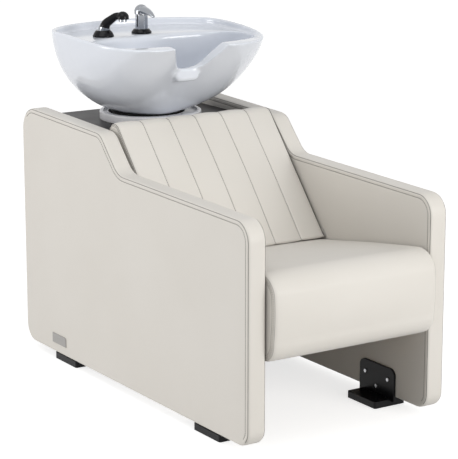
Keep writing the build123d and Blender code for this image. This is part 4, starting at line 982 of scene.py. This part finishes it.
def three_point_arc(first, middle, last, steps):
    """Points on the arc through three points, without the last."""
    to_middle = middle - first
    to_last = last - first
    doubled = 2 * to_middle.cross(to_last)
    from_first = Vector(
        (
            to_last[1] * to_middle.length_squared - to_middle[1] * to_last.length_squared,
            to_middle[0] * to_last.length_squared - to_last[0] * to_middle.length_squared,
        )
    )
    centre = first + from_first / doubled
    start = first - centre
    turn = start.angle_signed(last - centre)
    halfway = start.angle_signed(middle - centre)
    if turn * halfway < 0 or abs(halfway) > abs(turn):
        turn -= math.copysign(2 * math.pi, turn)
    points = []
    for step in range(steps):
        points.append(centre + Matrix.Rotation(-turn * step / steps, 2) @ start)
    return points


def seat_point(place):
    """A place of the seat's outline in the part's frame."""
    back, height = place
    return Vector((FRONT_Y + back, height))


def seat_profile():
    """The seat cushion seen from the side: points, outward directions and the crown's shares."""
    rear_low = seat_point((SEAT_REAR, SEAT_BOTTOM))
    front_low = seat_point(SEAT_FRONT_LOW)
    seat_break = seat_point(SEAT_BREAK)
    rear_top = seat_point(SEAT_REAR_TOP)
    points = []
    crowns = []
    for step in range(SEAT_BOTTOM_STEPS):
        points.append(rear_low.lerp(front_low, step / SEAT_BOTTOM_STEPS))
        crowns.append(0.0)
    face = SEAT_FACE_CROWN
    top = SEAT_TOP_CROWN
    stretches = (
        (SEAT_FRONT_LOW, SEAT_LOW_BULGE, SEAT_FACE_LOW, SEAT_LOW_STEPS, face, face),
        (SEAT_FACE_LOW, SEAT_FACE_BULGE, SEAT_FACE_HIGH, SEAT_FACE_STEPS, face, face),
        (SEAT_FACE_HIGH, SEAT_NOSE_BULGE, SEAT_FRONT_TOP, SEAT_NOSE_STEPS, face, top),
        (SEAT_FRONT_TOP, SEAT_TOP_BULGE, SEAT_BREAK, SEAT_TOP_STEPS, top, top),
    )
    for first, middle, last, count, low, high in stretches:
        corners = [seat_point(place) for place in (first, middle, last)]
        points.extend(three_point_arc(*corners, count))
        for step in range(count):
            crowns.append(low + (high - low) * step / count)
    top_start = len(points) - SEAT_TOP_STEPS
    for index in range(top_start, len(points)):
        share = (index - top_start) / SEAT_TOP_STEPS
        crowns[index] = top + (1 - top) * math.sin(math.pi * share)
    for step in range(SEAT_SLOPE_STEPS):
        points.append(seat_break.lerp(rear_top, step / SEAT_SLOPE_STEPS))
        crowns.append(top * (1 - step / SEAT_SLOPE_STEPS))
    for step in range(SEAT_REAR_STEPS):
        points.append(rear_top.lerp(rear_low, step / SEAT_REAR_STEPS))
        crowns.append(0.0)
    return points, outward_normals(points), crowns


seat_points, seat_normals, seat_crowns = seat_profile()

seat_puff = None
seat_puff = cloth_puff(
    SEAT_HALF_WIDTH,
    seat_points,
    seat_normals,
    [],
    SEAT_CLOTH_STRIDE,
    SEAT_CLOTH_FREE,
    SEAT_PUFF,
)


def seat_lift(x, index):
    """How far the seat's skin stands out of its plain outline."""
    if seat_puff is not None:
        return puff_at(seat_puff, x, index)
    return SEAT_CROWN * (1 - (x / SEAT_HALF_WIDTH) ** SEAT_CROWN_POWER) * seat_crowns[index]


seat_reach = SEAT_HALF_WIDTH - CUSHION_EDGE[0][0]
seat_stations = []
for step in range(1, SEAT_STATION_STEPS):
    seat_stations.append(-seat_reach + 2 * seat_reach * step / SEAT_STATION_STEPS)
loops = cushion_loops(SEAT_HALF_WIDTH, seat_stations, seat_points, seat_normals, seat_lift)
skin_points, skin_faces = stacked_loops(loops)
seat_skin = add_mesh("seat_upholstery", skin_points, skin_faces, cream, "frame")
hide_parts("seat_cushion")
cushion_seams("seat", SEAT_HALF_WIDTH, seat_points, seat_normals, SEAT_SEAM_RANGE, "frame")


# Basin and taps


def softened_copy(node_name, name, voxel, rounds, body):
    """A copy of a solid whose edges are melted round, as a glaze or a casting has them."""
    source = frame["nodes"][node_name]
    piece = bpy.data.objects.new(name, source.data.copy())
    bpy.context.scene.collection.objects.link(piece)
    remesh = piece.modifiers.new("even_mesh", "REMESH")
    remesh.mode = "VOXEL"
    remesh.voxel_size = voxel
    melt = piece.modifiers.new("melt", "SMOOTH")
    melt.factor = MELT_STRENGTH
    melt.iterations = rounds
    bpy.context.view_layer.update()
    melted = piece.evaluated_get(bpy.context.evaluated_depsgraph_get())
    shaped = bpy.data.meshes.new_from_object(melted)
    piece.modifiers.clear()
    piece.data = shaped
    set_material(piece, MATERIAL_OF_SLOT[slot_of_node[node_name]])
    shaped.shade_smooth()
    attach(piece, body)
    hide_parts(node_name)
    return piece


def blend_region(piece, middle, reach, rounds):
    """Melts the skin of a piece inside a soft-edged box much more than elsewhere."""
    mesh = piece.data
    count = len(mesh.vertices)
    places = np.empty(count * 3)
    mesh.vertices.foreach_get("co", places)
    places = places.reshape(count, 3)
    pairs = np.empty(len(mesh.edges) * 2, dtype=np.int64)
    mesh.edges.foreach_get("vertices", pairs)
    first, second = pairs.reshape(-1, 2).T
    away = np.abs((places - np.array(middle)) / np.array(reach)).max(axis=1)
    share = np.clip((1.0 - away) * BLEND_FADE, 0.0, 1.0)[:, None] * BLEND_STRENGTH
    neighbours = np.bincount(first, minlength=count) + np.bincount(second, minlength=count)
    for _ in range(rounds):
        total = np.empty((count, 3))
        for axis in range(3):
            total[:, axis] = np.bincount(first, places[second, axis], count)
            total[:, axis] += np.bincount(second, places[first, axis], count)
        places += share * (total / neighbours[:, None] - places)
    mesh.vertices.foreach_set("co", places.reshape(-1))
    mesh.update()


glazed = softened_copy("basin", "basin_glazed", BASIN_VOXEL, BASIN_SMOOTH_ROUNDS, "basin")
blend_region(glazed, LEDGE_BLEND_MIDDLE, LEDGE_BLEND_REACH, BLEND_ROUNDS)
softened_copy(
    "spray_handset", "spray_handset_moulded", HANDSET_VOXEL, HANDSET_SMOOTH_ROUNDS, "hand_spray"
)
softened_copy(
    "mixer_lever", "mixer_lever_cast", LEVER_VOXEL, LEVER_SMOOTH_ROUNDS, "mixer_handle"
)


# Camera, floor and light


def place_camera():
    """The camera at the photograph's place and angle."""
    data = bpy.data.cameras.new("camera")
    data.sensor_width = SENSOR_WIDTH
    data.lens = CAMERA_LENS
    data.clip_end = VIEW_DISTANCE
    camera = bpy.data.objects.new("camera", data)
    bpy.context.scene.collection.objects.link(camera)
    cosine = math.cos(CAMERA_AZIMUTH)
    sine = math.sin(CAMERA_AZIMUTH)
    level = math.cos(CAMERA_ELEVATION)
    backward = Vector((sine * level, -cosine * level, math.sin(CAMERA_ELEVATION)))
    right = Vector((cosine, sine, 0.0))
    upward = backward.cross(right)
    turn = Matrix((right, upward, backward)).transposed()
    camera.matrix_world = Matrix.Translation(CAMERA_PLACE) @ turn.to_4x4()
    bpy.context.scene.camera = camera


def area_light(name, place, target, size, power, colour):
    """A large soft square light aimed at a point."""
    data = bpy.data.lights.new(name, "AREA")
    data.shape = "SQUARE"
    data.size = size
    data.energy = power
    data.color = colour
    light = bpy.data.objects.new(name, data)
    bpy.context.scene.collection.objects.link(light)
    direction = Vector(target) - Vector(place)
    turn = direction.to_track_quat("-Z", "Y").to_matrix()
    light.matrix_world = Matrix.Translation(place) @ turn.to_4x4()


def seen_directly(tree):
    """One for rays from the camera, from a gloss or through glass, otherwise zero."""
    path = tree.nodes.new("ShaderNodeLightPath")
    first = tree.nodes.new("ShaderNodeMath")
    first.operation = "MAXIMUM"
    tree.links.new(path.outputs["Is Camera Ray"], first.inputs[0])
    tree.links.new(path.outputs["Is Glossy Ray"], first.inputs[1])
    second = tree.nodes.new("ShaderNodeMath")
    second.operation = "MAXIMUM"
    tree.links.new(first.outputs["Value"], second.inputs[0])
    tree.links.new(path.outputs["Is Transmission Ray"], second.inputs[1])
    return second.outputs["Value"]


def studio_floor():
    """A pale floor that shows white but keeps the object's shadow."""
    material, tree, shader = new_material("floor_paint")
    dust = noise(tree, *FLOOR_DUST)
    darker, lighter = FLOOR_GREYS
    pale = tint(tree, dust.outputs["Fac"], (darker,) * 3, (lighter,) * 3)
    tree.links.new(pale, shader.inputs["Base Color"])
    shader.inputs["Roughness"].default_value = FLOOR_ROUGHNESS
    shader.inputs["Specular IOR Level"].default_value = 0.0
    shader.inputs["Emission Color"].default_value = (1.0, 1.0, 1.0, 1.0)
    lift = tree.nodes.new("ShaderNodeMath")
    lift.operation = "MULTIPLY"
    lift.inputs[1].default_value = FLOOR_LIFT
    tree.links.new(seen_directly(tree), lift.inputs[0])
    tree.links.new(lift.outputs["Value"], shader.inputs["Emission Strength"])
    mesh = bpy.data.meshes.new("studio_floor")
    corners = [(-FLOOR_HALF, -FLOOR_HALF, 0.0), (FLOOR_HALF, -FLOOR_HALF, 0.0)]
    corners += [(FLOOR_HALF, FLOOR_HALF, 0.0), (-FLOOR_HALF, FLOOR_HALF, 0.0)]
    mesh.from_pydata(corners, [], [(0, 1, 2, 3)])
    floor = bpy.data.objects.new("studio_floor", mesh)
    bpy.context.scene.collection.objects.link(floor)
    floor.data.materials.append(material)


def white_surround():
    """An even white surround that lights the object less than it shows."""
    world = bpy.data.worlds.new("surround")
    world.use_nodes = True
    bpy.context.scene.world = world
    tree = world.node_tree
    lighting = tree.nodes.get("Background")
    lighting.inputs["Color"].default_value = (1.0, 1.0, 1.0, 1.0)
    lighting.inputs["Strength"].default_value = WORLD_LIGHT
    plain = tree.nodes.new("ShaderNodeBackground")
    plain.inputs["Color"].default_value = (1.0, 1.0, 1.0, 1.0)
    plain.inputs["Strength"].default_value = 1.0
    choice = tree.nodes.new("ShaderNodeMixShader")
    tree.links.new(seen_directly(tree), choice.inputs["Fac"])
    tree.links.new(lighting.outputs["Background"], choice.inputs[1])
    tree.links.new(plain.outputs["Background"], choice.inputs[2])
    tree.links.new(choice.outputs["Shader"], tree.nodes.get("World Output").inputs["Surface"])


place_camera()
studio_floor()
white_surround()
for light in LIGHTS:
    area_light(*light)
bpy.context.scene.view_settings.view_transform = "Standard"
